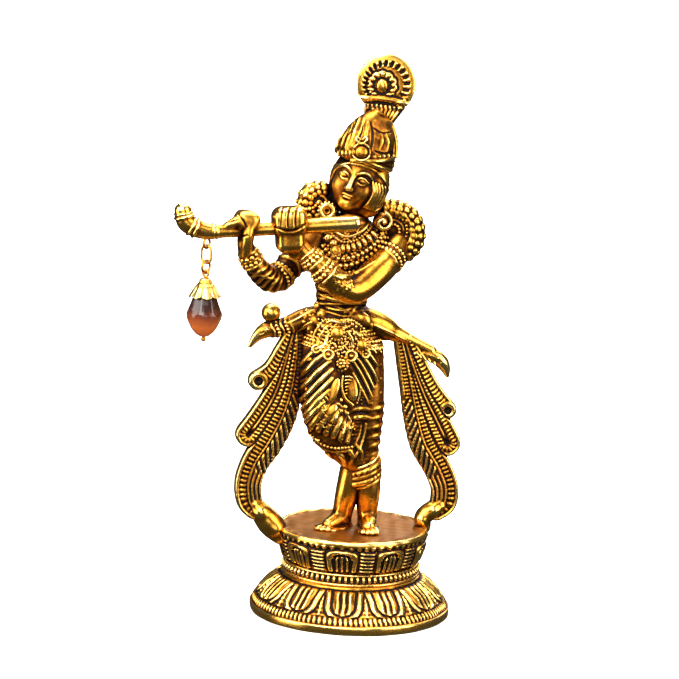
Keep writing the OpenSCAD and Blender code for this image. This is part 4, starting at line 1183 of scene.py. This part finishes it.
def plume_f(x, y, z):
    X, Y, Q = x - pc[0], y - pc[1], z - pc[2]
    a = PRt[0, 0]*X + PRt[1, 0]*Y
    b = PRt[0, 1]*X + PRt[1, 1]*Y
    r, th = np.sqrt(a*a + Q*Q), np.arctan2(a, Q)
    # the eye sits a little to one side; broad smooth rim; slit barbs; a scalloped ring; an oval
    front = b < 0
    ea = a + np.where(front, 1.5, 0)
    er, et = np.sqrt(ea*ea + (Q + 0.6)**2), np.arctan2(ea, Q + 0.6)
    edge = PR + 0.12*np.sin(9*th)
    relief = 0.9*np.clip(1 - (r/PR)**2, 0, 1) + ridge(r, PR - 1.5, 1.9, 0.55)
    up = np.clip((Q + 4.2)/0.8, 0, 1)
    slit = np.clip((r - 5.9)/0.4, 0, 1)*np.clip((8.5 - r)/0.4, 0, 1)
    relief = relief + up*slit*(0.5*np.cos(24*et) - 0.1)
    scal = 4.9 + 0.45*np.abs(np.cos(5.5*et))
    relief = relief + up*(ridge(er, scal - 0.9, 1.1, 0.75) - ridge(er, scal + 0.35, 0.4, 0.5) - ridge(er, 2.75, 0.4, 0.55))
    relief = relief + up*np.clip((er - 3.0)/0.3, 0, 1)*np.clip((4.6 - er)/0.3, 0, 1)*0.3*np.cos(13*et)
    relief = relief + 1.0*np.clip(1 - (ea/1.9)**2 - ((Q + 0.6)/2.4)**2, 0, 1)**0.5 + 0.16*np.cos(4*ea)*np.clip(1 - er/2, 0, 1)
    # under it a smooth crescent, and short upright ribs
    band = Q + 5.2 + 0.10*a + 0.012*a*a
    relief = relief + ridge(band, 0, 1.15, 1.0) - ridge(band, -1.4, 0.35, 0.6)
    low = np.clip((-1.7 - band)/0.4, 0, 1)
    relief = relief + low*(0.35 + 0.45*np.cos(2*math.pi*a/1.55))
    return np.maximum((r - edge)*0.95, np.abs(b) - (1.05 + relief))


plume.shape(plume_f, plo - 1, phi + 1, 0.3)
for i in range(9):
    aa = 3.6 + 0.75*(i % 4)
    plume.ball(pc + PRt @ A(aa + 1.4*(i // 4), -1.9, -6.2 - 0.9*(i % 3) + 0.9*(i // 4)), 0.62, 0.12)
neck = [pc + A(-0.2, 0, -8.4), pc + A(-1.0, 0.1, -10.8), pc + A(-2.0, 0.2, -13.4), pc + A(-3.0, 0.2, -15.4)]
plume.chain(curve([(*p, w, 2.2, 1.6) for p, w in zip(neck, (7.4, 6.4, 5.5, 4.8))]), 0.6)
nk = copy_of(plume)
for i in range(7):
    for s in (-1, 1):
        x = -4.8 + 1.6*i
        plume.line([pc + A(x*0.98, s*2.1, -8.6), pc + A(x*0.85 - 0.9, s*2.3, -11), pc + A(x*0.72 - 2.2, s*2.2, -14)], [0.5, 0.6, 0.35], 0.15)
fire(plume, "feather_disc", "plume", GOLD)


def earring(c, name, node, spiral):
    e = Clay(A(*c) - A(4.5, 5, 4.5), A(*c) + A(4.5, 5, 4.5), 0.22)
    c = A(*c)
    if spiral:
        pts = [c + A((0.3 + 0.40*t)*math.cos(t), -2.4 + 0.13*t, (0.3 + 0.40*t)*math.sin(t)) for t in np.linspace(0, 7.6, 60)]
        e.line(pts, 0.62, 0.15, steps=1)
        e.ell(c + A(0, 1.2, 0), (3.2, 2.9, 3.2), None, 0.3)
    else:
        e.line([c + A(2.2*math.cos(t), -2.6, 2.2*math.sin(t)) for t in np.linspace(0, 2*math.pi, 25)], 0.7, 0.2, steps=1)
        e.ell(c + A(0, 0.6, 0), (2.6, 2.9, 2.6), None, 0.3)
        e.ball(c + A(0, -2.6, 0), 1.1, 0.1, cut=True)
        for t in np.linspace(0, 2*math.pi, 15)[:-1]:
            e.ball(c + A(3.0*math.cos(t), -1.9, 3.0*math.sin(t)), 0.45, 0.1)
    fire(e, name, node, GOLD, keep=0)


earring((-15.6, -5.5, 145.4), "right_earring_ring", "right_earring", False)
earring((4.6, -5.6, 141.6), "left_earring_spiral", "left_earring", True)

# ---------- curled shoulder ornaments ----------

def cells(clay, K, mid, tilts, r, gap, rad_y):
    """Rows of cell-like lumps along a roll, from its inner edge over the outside."""
    K = spaced(K, gap)
    for j, k in enumerate(K):
        way = K[min(j+1, len(K)-1), :3] - K[max(j-1, 0), :3]
        way[1] = 0; way /= np.linalg.norm(way)
        out = np.cross(way, (0, 1, 0))
        if out @ (k[:3] - mid) < 0:
            out = -out
        for t in tilts:
            a = math.radians(t + (9 if j % 2 else 0))
            n = math.cos(a)*out + math.sin(a)*A(0, 1, 0)
            p = k[:3] + math.cos(a)*k[3]*out + math.sin(a)*k[rad_y]*A(0, 1, 0)
            s = 1 + 0.14*math.sin(5.1*j + 2.3*t)
            R = np.stack([way, n, np.cross(way, n)], 1)
            clay.ell(p - n*0.16, (r*s*1.06, 0.72, r*1.02*s), R, 0.08)


repau = Clay((-29, -8, 136), (-8, 7, 158), 0.24)
K = curve([(-12.4, 0, 142.6, 3, 3.2, 3), (-16.5, 0, 142.2, 3.4, 3.6, 3.4), (-21.2, 0, 145.0, 3.5, 3.5, 3.5), (-20.4, 0, 150.4, 3.6, 3.2, 3.6), (-15.8, 0, 151.8, 2.8, 2.8, 2.8)], 6)
repau.chain(K, 0.3)
repau.ball((-17.6, 0, 147), 3.6, 1.0)
base0 = copy_of(repau)
cells(repau, K, A(-17.6, 0, 147), range(-105, 106, 35), 1.05, 2.0, 4)
# the end curls in on itself
for s in (-1, 1):
    pts = [A(-17.4 + (0.5 + 0.34*t)*math.cos(t + 0.6), s*(3.5 - 0.1*t), 147.2 + (0.5 + 0.34*t)*math.sin(t + 0.6)) for t in np.linspace(0, 7.2, 40)]
    repau.line(pts, 0.55, 0.12, steps=1)
stroke(base0, repau, [(318, 203), (313, 208), (305, 209), (298, 205)], 0.62, -0.3, 0.1, bead=1.3)
fire(repau, "right_shoulder_curl", "right_epaulette", GOLD)

lepau = Clay((2, -9, 125), (25, 8, 154), 0.24)
K = curve([(6.4, 0, 145.6, 3.0, 3.2, 3.0), (11.6, 0, 144.6, 3.9, 3.7, 3.9), (15.6, 0, 141.2, 4.3, 3.9, 4.3), (17.0, -0.5, 136.4, 4.3, 3.9, 4.3), (15.4, -1.2, 131.8, 3.9, 3.6, 3.9), (12.4, -1.6, 129.2, 2.8, 2.8, 2.8)], 6)
lepau.chain(K, 0.3)
lepau.ell((10.4, -0.4, 138.2), (5.4, 3.0, 6.2), None, 1.0)
base0 = copy_of(lepau)
cells(lepau, K, A(9.4, 0, 137.2), range(-105, 106, 35), 1.22, 2.35, 4)
# rolled bands inside the curl, on both faces
for s in (-1, 1):
    for rad, r, b in ((6.4, 0.5, 0), (5.0, 0.66, 1), (3.6, 0.5, 0), (2.2, 0.6, 1)):
        pts = []
        for t in np.linspace(-2.2, 1.9, 26):
            q = A(9.2 + rad*math.cos(t), s*9, 138.0 + rad*1.1*math.sin(t))
            pts.append(base0.skin((q[0], 0, q[2]), (0, s, 0), reach=8, sink=0.0))
        lepau.beads(pts, r, 2.0*r) if b else lepau.line(pts, r, 0.12, steps=1)
fire(lepau, "left_shoulder_curl", "left_epaulette", GOLD)

# ---------- peacocks ----------

rpk = Clay((-43, -7, 93), (-10, 7, 113), 0.25)
RP = [(-17, 0, 105, 3.6), (-22, 0, 104.4, 3.4), (-28, 0, 103, 3.0), (-33.6, 0, 102, 2.9), (-37.2, 0, 99.6, 1.9), (-39.6, 0, 96.2, 0.9)]
rpk.chain(curve(RP, 8), 0.3)
rpk.chain(curve([(-13, 0, 104.6, 5.4), (-17.5, 0, 105.6, 4.9), (-22, 0, 105.2, 3.9), (-26, 0, 103.8, 3.1)]), 0.8)
rpk.ball((-32.6, 0, 108.0), 3.45, 0.5)
neck0 = copy_of(rpk)
for pts in ([(326, 309), (310, 312), (295, 320), (285, 324)], [(328, 318), (312, 322), (298, 331)], [(330, 329), (314, 333), (300, 342)]):
    stroke(neck0, rpk, pts, [0.3, 0.75, 0.7, 0.3], 0.2, 0.3)
pebbles(neck0, rpk, [(300, 312), (318, 306), (322, 318), (304, 326)], 26, 0.35, 0.65, 0.2, 0.25, seed=12)
for i, x in enumerate(np.linspace(-25.5, -32, 5)):
    z = np.interp(x, [-33.6, -28, -22, -17], [102, 103, 104.4, 105])
    r = np.interp(x, [-33.6, -28, -17], [2.9, 3.0, 3.6])
    pts = [(x + 0.8*math.sin(b*2), (r + 0.05)*math.cos(b), z + (r + 0.05)*math.sin(b)) for b in np.linspace(0, 2*math.pi, 25)]
    rpk.beads(pts, 0.66, 1.4) if i % 2 else rpk.line(pts, 0.42, 0.12, steps=1)
for s in (-1, 1):
    rpk.line([(-39.3, 0.35*s, 97.6), (-37.2, 1.5*s, 100.2), (-35.4, 2.6*s, 101.4)], 0.24, 0.1, cut=True)
    for b in np.linspace(0, 2*math.pi, 13)[:-1]:
        rpk.ball((-34.2 + 0.95*math.cos(b), 2.75*s, 102.4 + 0.95*math.sin(b)), 0.26, 0.06)
    rpk.ball((-34.2, 2.75*s, 102.4), 0.55, 0.1)
fire(rpk, "right_peacock_head", "right_peacock", GOLD)

lpk = Clay((-8, -8, 83), (34, 8, 112), 0.26)
lpk.chain(curve([(-1, 0, 104.6, 6.0), (3.5, 0, 104.2, 5.6), (8, 0, 103, 4.5), (12, 0, 101.2, 3.1), (19, 0, 98, 2.2), (25.4, 0, 94.8, 2.3)], 8), 0.3)
lpk.chain(curve([(23, 0, 94.2, 2.2), (27.0, 0, 92.9, 2.6), (29.6, 0, 91.0, 2.5), (31.2, 0, 88.6, 1.8), (32, 0, 86, 0.85)], 6), 0.15)
neck0 = copy_of(lpk)
for pts in ([(362, 322), (376, 326), (392, 333), (408, 342)], [(366, 334), (380, 338), (394, 344)]):
    stroke(neck0, lpk, pts, [0.3, 0.6, 0.6, 0.3], 0.3, 0.4)
for s in (-1, 1):
    lpk.line([(31.8, 0.3*s, 87.4), (30.6, 1.4*s, 89.8), (28.8, 2.3*s, 91.2)], 0.24, 0.1, cut=True)
    lpk.ball((28.2, 2.3*s, 92.6), 0.6, 0.1)
    for k in range(4):
        lpk.line([(20 + 1.8*k, 1.9*s, 94.6 - 0.7*k), (21.6 + 1.8*k, 2.1*s, 92.6 - 0.8*k)], 0.4, 0.2, steps=3)
fire(lpk, "left_peacock_strut", "left_peacock", SMOOTH)


def tail(name, node, long, middle, short, inner):
    """A panel of three plumes. inner is the sign of the side that faces the legs."""
    lo, hi = (np.array(v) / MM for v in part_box(node))
    c = Clay(lo - A(0.6, 1.4, 0.6), hi + A(0.6, 1.4, 0.6), 0.25)
    n = c.d.shape
    x = (c.lo[0] + c.h*np.arange(n[0]))[:, None]
    z = (c.lo[2] + c.h*np.arange(n[2]))[None, :]
    outline = np.full((n[0], n[2]), 9.0)
    height = np.full((n[0], n[2]), -9.0)
    for which, knots in enumerate((long, middle, short)):
        P = curve(knots, 10)
        best = np.full((n[0], n[2]), 1e9)
        S = np.zeros_like(best); T = np.zeros_like(best); W = np.zeros_like(best)
        s0 = 0.0
        for p, q in zip(P[:-1], P[1:]):
            e = q[:2] - p[:2]
            L = np.linalg.norm(e)
            t = np.clip(((x-p[0])*e[0] + (z-p[1])*e[1]) / (L*L), 0, 1)
            dx, dz = x - p[0] - t*e[0], z - p[1] - t*e[1]
            d = np.sqrt(dx*dx + dz*dz)
            w = p[2] + (q[2]-p[2])*t
            m = d - w < best
            side = np.sign(e[0]*dz - e[1]*dx)
            best = np.where(m, d - w, best)
            S = np.where(m, s0 + t*L, S); T = np.where(m, side*d*inner, T); W = np.where(m, w, W)
            s0 += L
        end = P[-1]
        way = P[-1, :2] - P[-3, :2]
        ang = np.arctan2(z - end[1], x - end[0]) - math.atan2(way[1], way[0])
        past = S > s0 - 1e-3
        f = np.abs(T) / W
        S2 = np.where(past, s0 + np.abs((ang + math.pi) % (2*math.pi) - math.pi)*0.55*W*np.sign(T + 1e-9), S)
        dome = lambda u: np.sqrt(np.clip(1 - u*u, 0, 1))
        edge = -best                                    # how far in from the outline, in mm
        rim = 1.15*dome((edge - 0.75)/0.8)
        ribs = lambda pitch, lean=0.0: 0.30 + 0.70*dome(((S2 + lean*np.abs(T))/pitch % 1.0 - 0.5)/0.46)
        if which == 0:
            # a beaded row along the outside; leaning barbs along the inside, from a third of the way down
            row = ribs(1.5)*dome((T + 0.42*W)/(0.34*W))*1.0
            mid = 0.95*dome((T + 0.02*W)/0.55)
            row2 = ribs(1.35)*dome((T - 0.40*W)/(0.34*W))*0.95
            low = np.clip((S - 21)/4, 0, 1)
            blade = ((S*0.92 - T*1.15)/2.75) % 1.0
            barb = 1.05*dome((blade - 0.42)/0.40)*np.clip((T - 0.05*W)/0.5, 0, 1)
            curl = np.clip((S - (s0 - 17))/3, 0, 1)
            sweep = 0.95*dome((((T/W - 0.10)*3.1 + 0.012*(S - s0)) % 1.0 - 0.5)/0.40)
            inside = T > 0.05*W
            g = np.maximum(row, mid)
            g = np.where(inside, row2*(1 - low) + (barb*(1 - curl) + sweep*curl)*low, g)
            g = np.maximum(g, np.where(T < 0, rim, rim*(1 - low)*0.8))
        elif which == 1:
            g = np.maximum(rim, ribs(1.42, 0.25)*dome((np.abs(T) - 0.47*W)/(0.30*W))*1.05)
            g = np.maximum(g, 0.7*dome(T/0.5)*np.clip((s0 - 1 - S)/2, 0, 1))
            g = np.where(past & (f < 0.16), 0.1, g)
        else:
            g = np.maximum(0.8*rim, ribs(1.6, 0.35)*dome(T/(0.72*W))*1.15)
            ring_d = np.sqrt((x - end[0])**2 + (z - end[1])**2)
            near = ring_d < end[2]
            g = np.where(near, 1.25*dome((ring_d - 0.68*end[2])/(0.34*end[2])) - 0.9*dome(ring_d/(0.42*end[2])), g)
        take = best < outline
        height = np.where(take, g, height)
        # a dark line where one plume tucks under the next
        if which:
            seam = np.abs(best - outline)
            height = np.where((seam < 0.5) & (np.minimum(best, outline) < 0.2), np.minimum(height, 0.0), height)
        outline = np.minimum(outline, best)
    y = (c.lo[1] + c.h*np.arange(n[1]))[None, :, None]
    thick = 1.0 + 0.45*np.sqrt(np.clip(-outline/4.5, 0, 1))
    body = np.maximum(outline[:, None, :], (np.abs(y) - (thick + 1.0*height)[:, None, :]) * 0.75)
    c.d[:] = np.minimum(body, FAR)
    c.soften(1)
    fire(c, name, node, GOLD)


tail("right_tail_plumes", "right_tail",
     [(-23.2, 102, 2.4), (-23.2, 91, 3.2), (-24.4, 81, 4), (-27.2, 71, 5), (-31.6, 62, 5.4), (-36.4, 54, 5), (-38.6, 47, 4.8), (-38, 40.6, 4.6), (-36, 37, 3.6)],
     [(-24.6, 102, 2.2), (-27, 91, 3.2), (-30, 80, 4), (-34.6, 71, 4.6), (-39.2, 64.4, 4.6)],
     [(-25, 102, 2), (-28, 95, 2.8), (-31.6, 88, 3.2), (-36.4, 83.8, 3.6)], 1)
tail("left_tail_plumes", "left_tail",
     [(14, 100, 2.4), (16.4, 91, 3.2), (18.8, 81, 3.8), (21.2, 71, 4.4), (24.6, 61, 5), (29.6, 53, 5), (32.8, 46, 4.9), (33, 40, 4.8), (30.4, 36.4, 3.6)],
     [(15, 100, 2), (18.8, 90, 3.2), (23.6, 79, 4.2), (29, 69, 4.8), (33, 61.6, 5)],
     [(17, 99, 2), (21.6, 90, 2.8), (26.6, 81, 3.2), (32.4, 73.6, 3.5)], -1)

rf = Clay((-40, -6, 22), (-21, 6, 44), 0.28)
rf.chain(curve([(-35.4, 0, 38.6, 2.8), (-33, 0, 35.4, 3.9), (-29.6, 0, 31.4, 4.6), (-26, 0, 27.6, 3.6)], 6), 0.4)
for c0, r in (((-33.6, -2, 36.4), 2.4), ((-28, -2.4, 30.4), 2.6), ((-30.6, 1.6, 33), 3), ((-26.4, -2, 27.4), 2.2)):
    rf.ball(c0, r, 1.2)
rf.soften(2)
fire(rf, "right_solder_foot", "right_tail_foot", SMOOTH)
lf = Clay((20, -6, 25), (36, 6, 43), 0.28)
lf.chain(curve([(31.4, 0, 38.2, 2.9), (28.6, 0, 36.4, 3.4), (25.8, 0, 34, 3.2), (26, 0, 30.4, 2.7)], 6), 0.4)
for c0, r in (((29, -1.6, 37), 2.2), ((24.6, -1.4, 33.4), 2.3), ((26.4, 1.4, 31.6), 2.4)):
    lf.ball(c0, r, 1.0)
lf.soften(2)
fire(lf, "left_solder_foot", "left_tail_foot", SMOOTH)

# ---------- flute ----------

fl = Clay((-73, -22, 134), (-3, -10, 151), 0.26)
fl.chain(curve(FLUTE, 8), 0.3)
fl.soften(1)
for s, r in ((0.55, 0.4), (0.58, 0.4), (0.74, 0.55), (0.79, 0.45), (0.93, 0.5), (0.965, 0.35)):
    pts, _ = ring_round(FLUTE, s, 0.0)
    fl.line(pts, r, 0.2, steps=1)
fl.chain([(-3, FY, 142.8, 1.7), (-9.5, FY, 142.25, 1.6)], 0.1, cut=True)
fl.shape(lambda x, y, z: -(x + 5.6) + 0*y + 0*z, (-5.2, -30, 130), (0, 0, 150), 0.1, cut=True)
fl.ball((-67.5, FY, 148.9), 1.5, 0.3, cut=True)
fire(fl, "flute_cast", "flute", SMOOTH)

# ---------- bead drop ----------

dx, dy = -58.6, -16.0
clo, chi = (np.array(v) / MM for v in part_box("bead_cap"))
cap = Clay(clo - 0.6, chi + 0.6, 0.14)
ct = chi[2]
CP = np.array([(0.5, ct), (1.7, ct), (2, ct-0.8), (3.4, ct-3.2), (5.35, ct-6.4), (4.85, ct-6.4), (3.05, ct-3.8), (0.5, ct-2.6)])


def cap_f(x, y, z):
    r = np.sqrt((x-dx)**2 + (y-dy)**2) + 0*z
    th = np.arctan2(x - dx, -(y - dy)) + 0*z
    zz = z + 0*r
    scal = 0.75 * (1 - np.abs(np.cos(4*th)))
    d = sdf_polygon(CP, r, zz - scal*np.clip((ct - 4 - zz)/2.4, 0, 1))
    t = np.clip((ct - zz) / 6.4, 0, 1)
    ped = 0.30*np.abs(np.cos(4*th))**0.5*np.clip((t - 0.3)/0.2, 0, 1) - 0.35*np.exp(-((np.abs(np.cos(4*th)))/0.16)**2)*np.clip((t - 0.35)/0.2, 0, 1)
    ped = ped + 0.2*np.exp(-((np.sin(4*th))/0.22)**2)*np.clip((t - 0.25)/0.1, 0, 1)
    ped = ped + 0.2*np.exp(-((zz - ct + 2.0)/0.25)**2) + 0.22*np.exp(-((zz - ct + 0.9)/0.25)**2)*(0.5 + 0.5*np.cos(14*th))
    outer = r > np.interp(zz, [ct-6.4, ct-3.6, ct-1], [5.1, 3.1, 1.0])
    return np.where(outer, d - ped*0.8, d) * 0.9


cap.shape(cap_f, clo, chi, 0.08)
CAPM = gold("cap_gold", dark=0.02, rough=0.3, cast=0.9)
fire(cap, "filigree_cap", "bead_cap", CAPM, body="drop", keep=0)

blo, bhi = (np.array(v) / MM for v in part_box("bead"))
top, low = bhi[2], blo[2]
H = top - low
prof = [(0.5, top - 0.1), (2.0, top - 0.85), (3.9, top - 2.9), (4.9, top - 5.6), (5.8, top - 7.9), (6.2, top - 9.2), (6.05, top - 10.6), (5.2, top - 12.8),
        (3.8, top - 15.2), (2.2, top - 16.7), (1.1, low + 0.12), (0.5, low + 0.02)]
prof = curve([(r, z, 0) for r, z in prof], 5)[:, :2]
# down the bore, so that the bead is closed round its pin
bore = [(0.5, z) for z in np.linspace(low + 0.02, top - 0.1, 12)[1:-1]]
prof = np.array(list(prof) + bore)
N = 96
th = np.arange(N) * 2*math.pi / N
co, faces = [], []
for r, z in prof:
    # eight soft facets that swap places above and below the middle
    sh = math.pi/8 if z > top - 9.2 else 0
    a = (th + sh) % (math.pi/4) - math.pi/8
    flat = np.cos(math.pi/8) / np.cos(a)
    mix = 0.55 * np.clip((r - 0.6)/3, 0, 1) * np.clip(abs(z - top + 9.2)/1.6, 0.25, 1)
    rr = r * (1 - mix + mix*flat*1.02)
    rr = np.minimum(rr, 6.28)
    co += [(dx + R_*math.sin(t), dy - R_*math.cos(t), z) for R_, t in zip(rr, th)]
M = len(prof)
for i in range(M):
    for j in range(N):
        faces.append((i*N + j, i*N + (j+1) % N, ((i+1) % M)*N + (j+1) % N, ((i+1) % M)*N + j))
faces = np.array(faces)
co = np.array(co)
tri = co[faces]
if np.einsum("ij,ij->i", tri[:, 0], np.cross(tri[:, 1], tri[:, 2])).sum() < 0:
    faces = faces[:, ::-1]
bead = mesh_of("amber_bead", co, faces)
bead.data.materials.append(amber(low*MM, top*MM))
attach(bead, "bead")
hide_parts("bead")

for n in ("eyelet", "link", "ring", "head_pin"):
    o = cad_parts[n]
    o.data.materials.clear()
    o.data.materials.append(WIRE)
for n in ("fixing_screws", "fixing_washers"):
    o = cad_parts[n]
    o.data.materials.clear()
    o.data.materials.append(STEEL)

# ---------- the dark wash, patina and painted shade: how closed in each spot is, over the whole figure ---

G = 0.55
glo = A(-75, -40, -3)
gn = np.ceil((A(45, 40, 204) - glo) / G).astype(int)
occ = np.zeros(gn, np.float32)
for ob, c, co in made:
    step = max(1, int(round(G / c.h)))
    i = [np.arange(0, s, 1) for s in c.d.shape]
    idx = [np.clip(((c.lo[k] + c.h*i[k] - glo[k]) / G).astype(int), 0, gn[k]-1) for k in range(3)]
    full = np.clip(0.5 - c.d / (c.h*1.2), 0, 1)
    # the mean over each coarse cell
    acc = full
    for k in range(3):
        cuts = np.searchsorted(idx[k], np.unique(idx[k]))
        acc = np.add.reduceat(acc, cuts, axis=k) / np.diff(np.append(cuts, len(idx[k]))).reshape([-1 if q == k else 1 for q in range(3)])
    u = [np.unique(v) for v in idx]
    sl = tuple(slice(v[0], v[-1] + 1) for v in u)
    occ[sl] = np.maximum(occ[sl], acc)
near = box_blur(box_blur(occ, 2), 2)
wide = box_blur(box_blur(occ, 5), 5)
probe = Clay((0, 0, 0), (1, 1, 1))
probe.lo, probe.h, probe.d = glo + G/2, G, occ
for ob, c, co in made:
    # painted shade with patina: the more closed in a spot is by clay all round, the darker its gold
    v = 0.62*probe.at(co, near) + 0.55*probe.at(co, wide)
    a = ob.data.attributes.new("deep_patina_and_shade", "FLOAT", "POINT")
    a.data.foreach_set("value", np.clip(0.62 - v, -0.4, 0.6).astype(np.float32))

# ---------- stage, light and camera ----------

def plain_material(name, col, rough):
    m, t, b = nodes_of(name)
    n = noise(t, 30, 2)
    t.links.new(ramp(t, n, [(0.3, tuple(v*0.985 for v in col)), (0.7, col)]), b.inputs["Base Color"])
    b.inputs["Roughness"].default_value = rough
    return m


def backdrop():
    P = [(-1.6, 0), (0.7, 0)]
    P += [(0.7 + 0.35*math.sin(a), 0.35 - 0.35*math.cos(a)) for a in np.linspace(0.1, math.pi/2, 12)]
    P += [(1.05, 1.8)]
    co, f = [], []
    for y, z in P:
        co += [(-2.2, y, z), (2.2, y, z)]
    for i in range(len(P) - 1):
        f.append((2*i, 2*i+1, 2*i+3, 2*i+2))
    ob = mesh_of("floor", np.array(co) / MM, np.array(f))
    ob.data.materials.append(plain_material("pale_paper", (0.93, 0.925, 0.915), 0.65))
    # the paper isn't mirrored in the metal, so that outlines stay dark
    ob.visible_glossy = False
    return ob


backdrop()


def area(name, loc, target, size, power, col=(1, 1, 1), size_y=None):
    L = bpy.data.lights.new(name, "AREA")
    L.energy, L.color, L.size = power, col, size
    if size_y:
        L.shape, L.size_y = "RECTANGLE", size_y
    o = bpy.data.objects.new(name, L)
    bpy.context.collection.objects.link(o)
    o.location = loc
    o.rotation_euler = (Vector(target) - Vector(loc)).to_track_quat("-Z", "Y").to_euler()
    return o


T = (0, 0, 0.1)
area("key", (-0.55, -0.75, 0.85), T, 0.9, 23, (1.0, 0.96, 0.90))
area("fill", (0.85, -0.7, 0.45), T, 0.7, 13, (1.0, 0.95, 0.88), 1.1)
area("top", (0.0, 0.15, 1.1), T, 1.0, 15)
area("low_left", (-0.9, -0.15, 0.25), T, 0.45, 8, (1.0, 0.93, 0.85), 1.0)
area("front", (-0.2, -1.45, 0.4), T, 0.9, 6, (1.0, 0.95, 0.88))
area("rear", (0.5, 0.85, 0.7), T, 0.6, 7, (1.0, 0.95, 0.88), 0.9)
area("back", (0.2, 0.45, 1.2), (0, 1.0, 0.5), 1.2, 22)
w = bpy.data.worlds.new("studio")
bpy.context.scene.world = w
w.use_nodes = True
t = w.node_tree
# pale where it is seen past the paper, dim where it lights the metal
ground = t.nodes["Background"]
ground.inputs[0].default_value = (1, 1, 1, 1)
path = t.nodes.new("ShaderNodeLightPath")
t.links.new(math_node(t, "ADD", math_node(t, "MULTIPLY", path.outputs["Is Camera Ray"], 0.84), 0.07), ground.inputs[1])
bpy.context.scene.view_settings.view_transform = "Standard"

cam_data = bpy.data.cameras.new("camera")
cam_data.lens = 2825 / 679 * 36
cam_data.sensor_width = 36
cam_data.clip_start, cam_data.clip_end = 0.05, 20
cam = bpy.data.objects.new("camera", cam_data)
bpy.context.collection.objects.link(cam)
cam.matrix_world = Matrix.Translation(Vector(EYE) * MM) @ Matrix((RIGHT, UP, BACK)).transposed().to_4x4()
bpy.context.scene.camera = cam
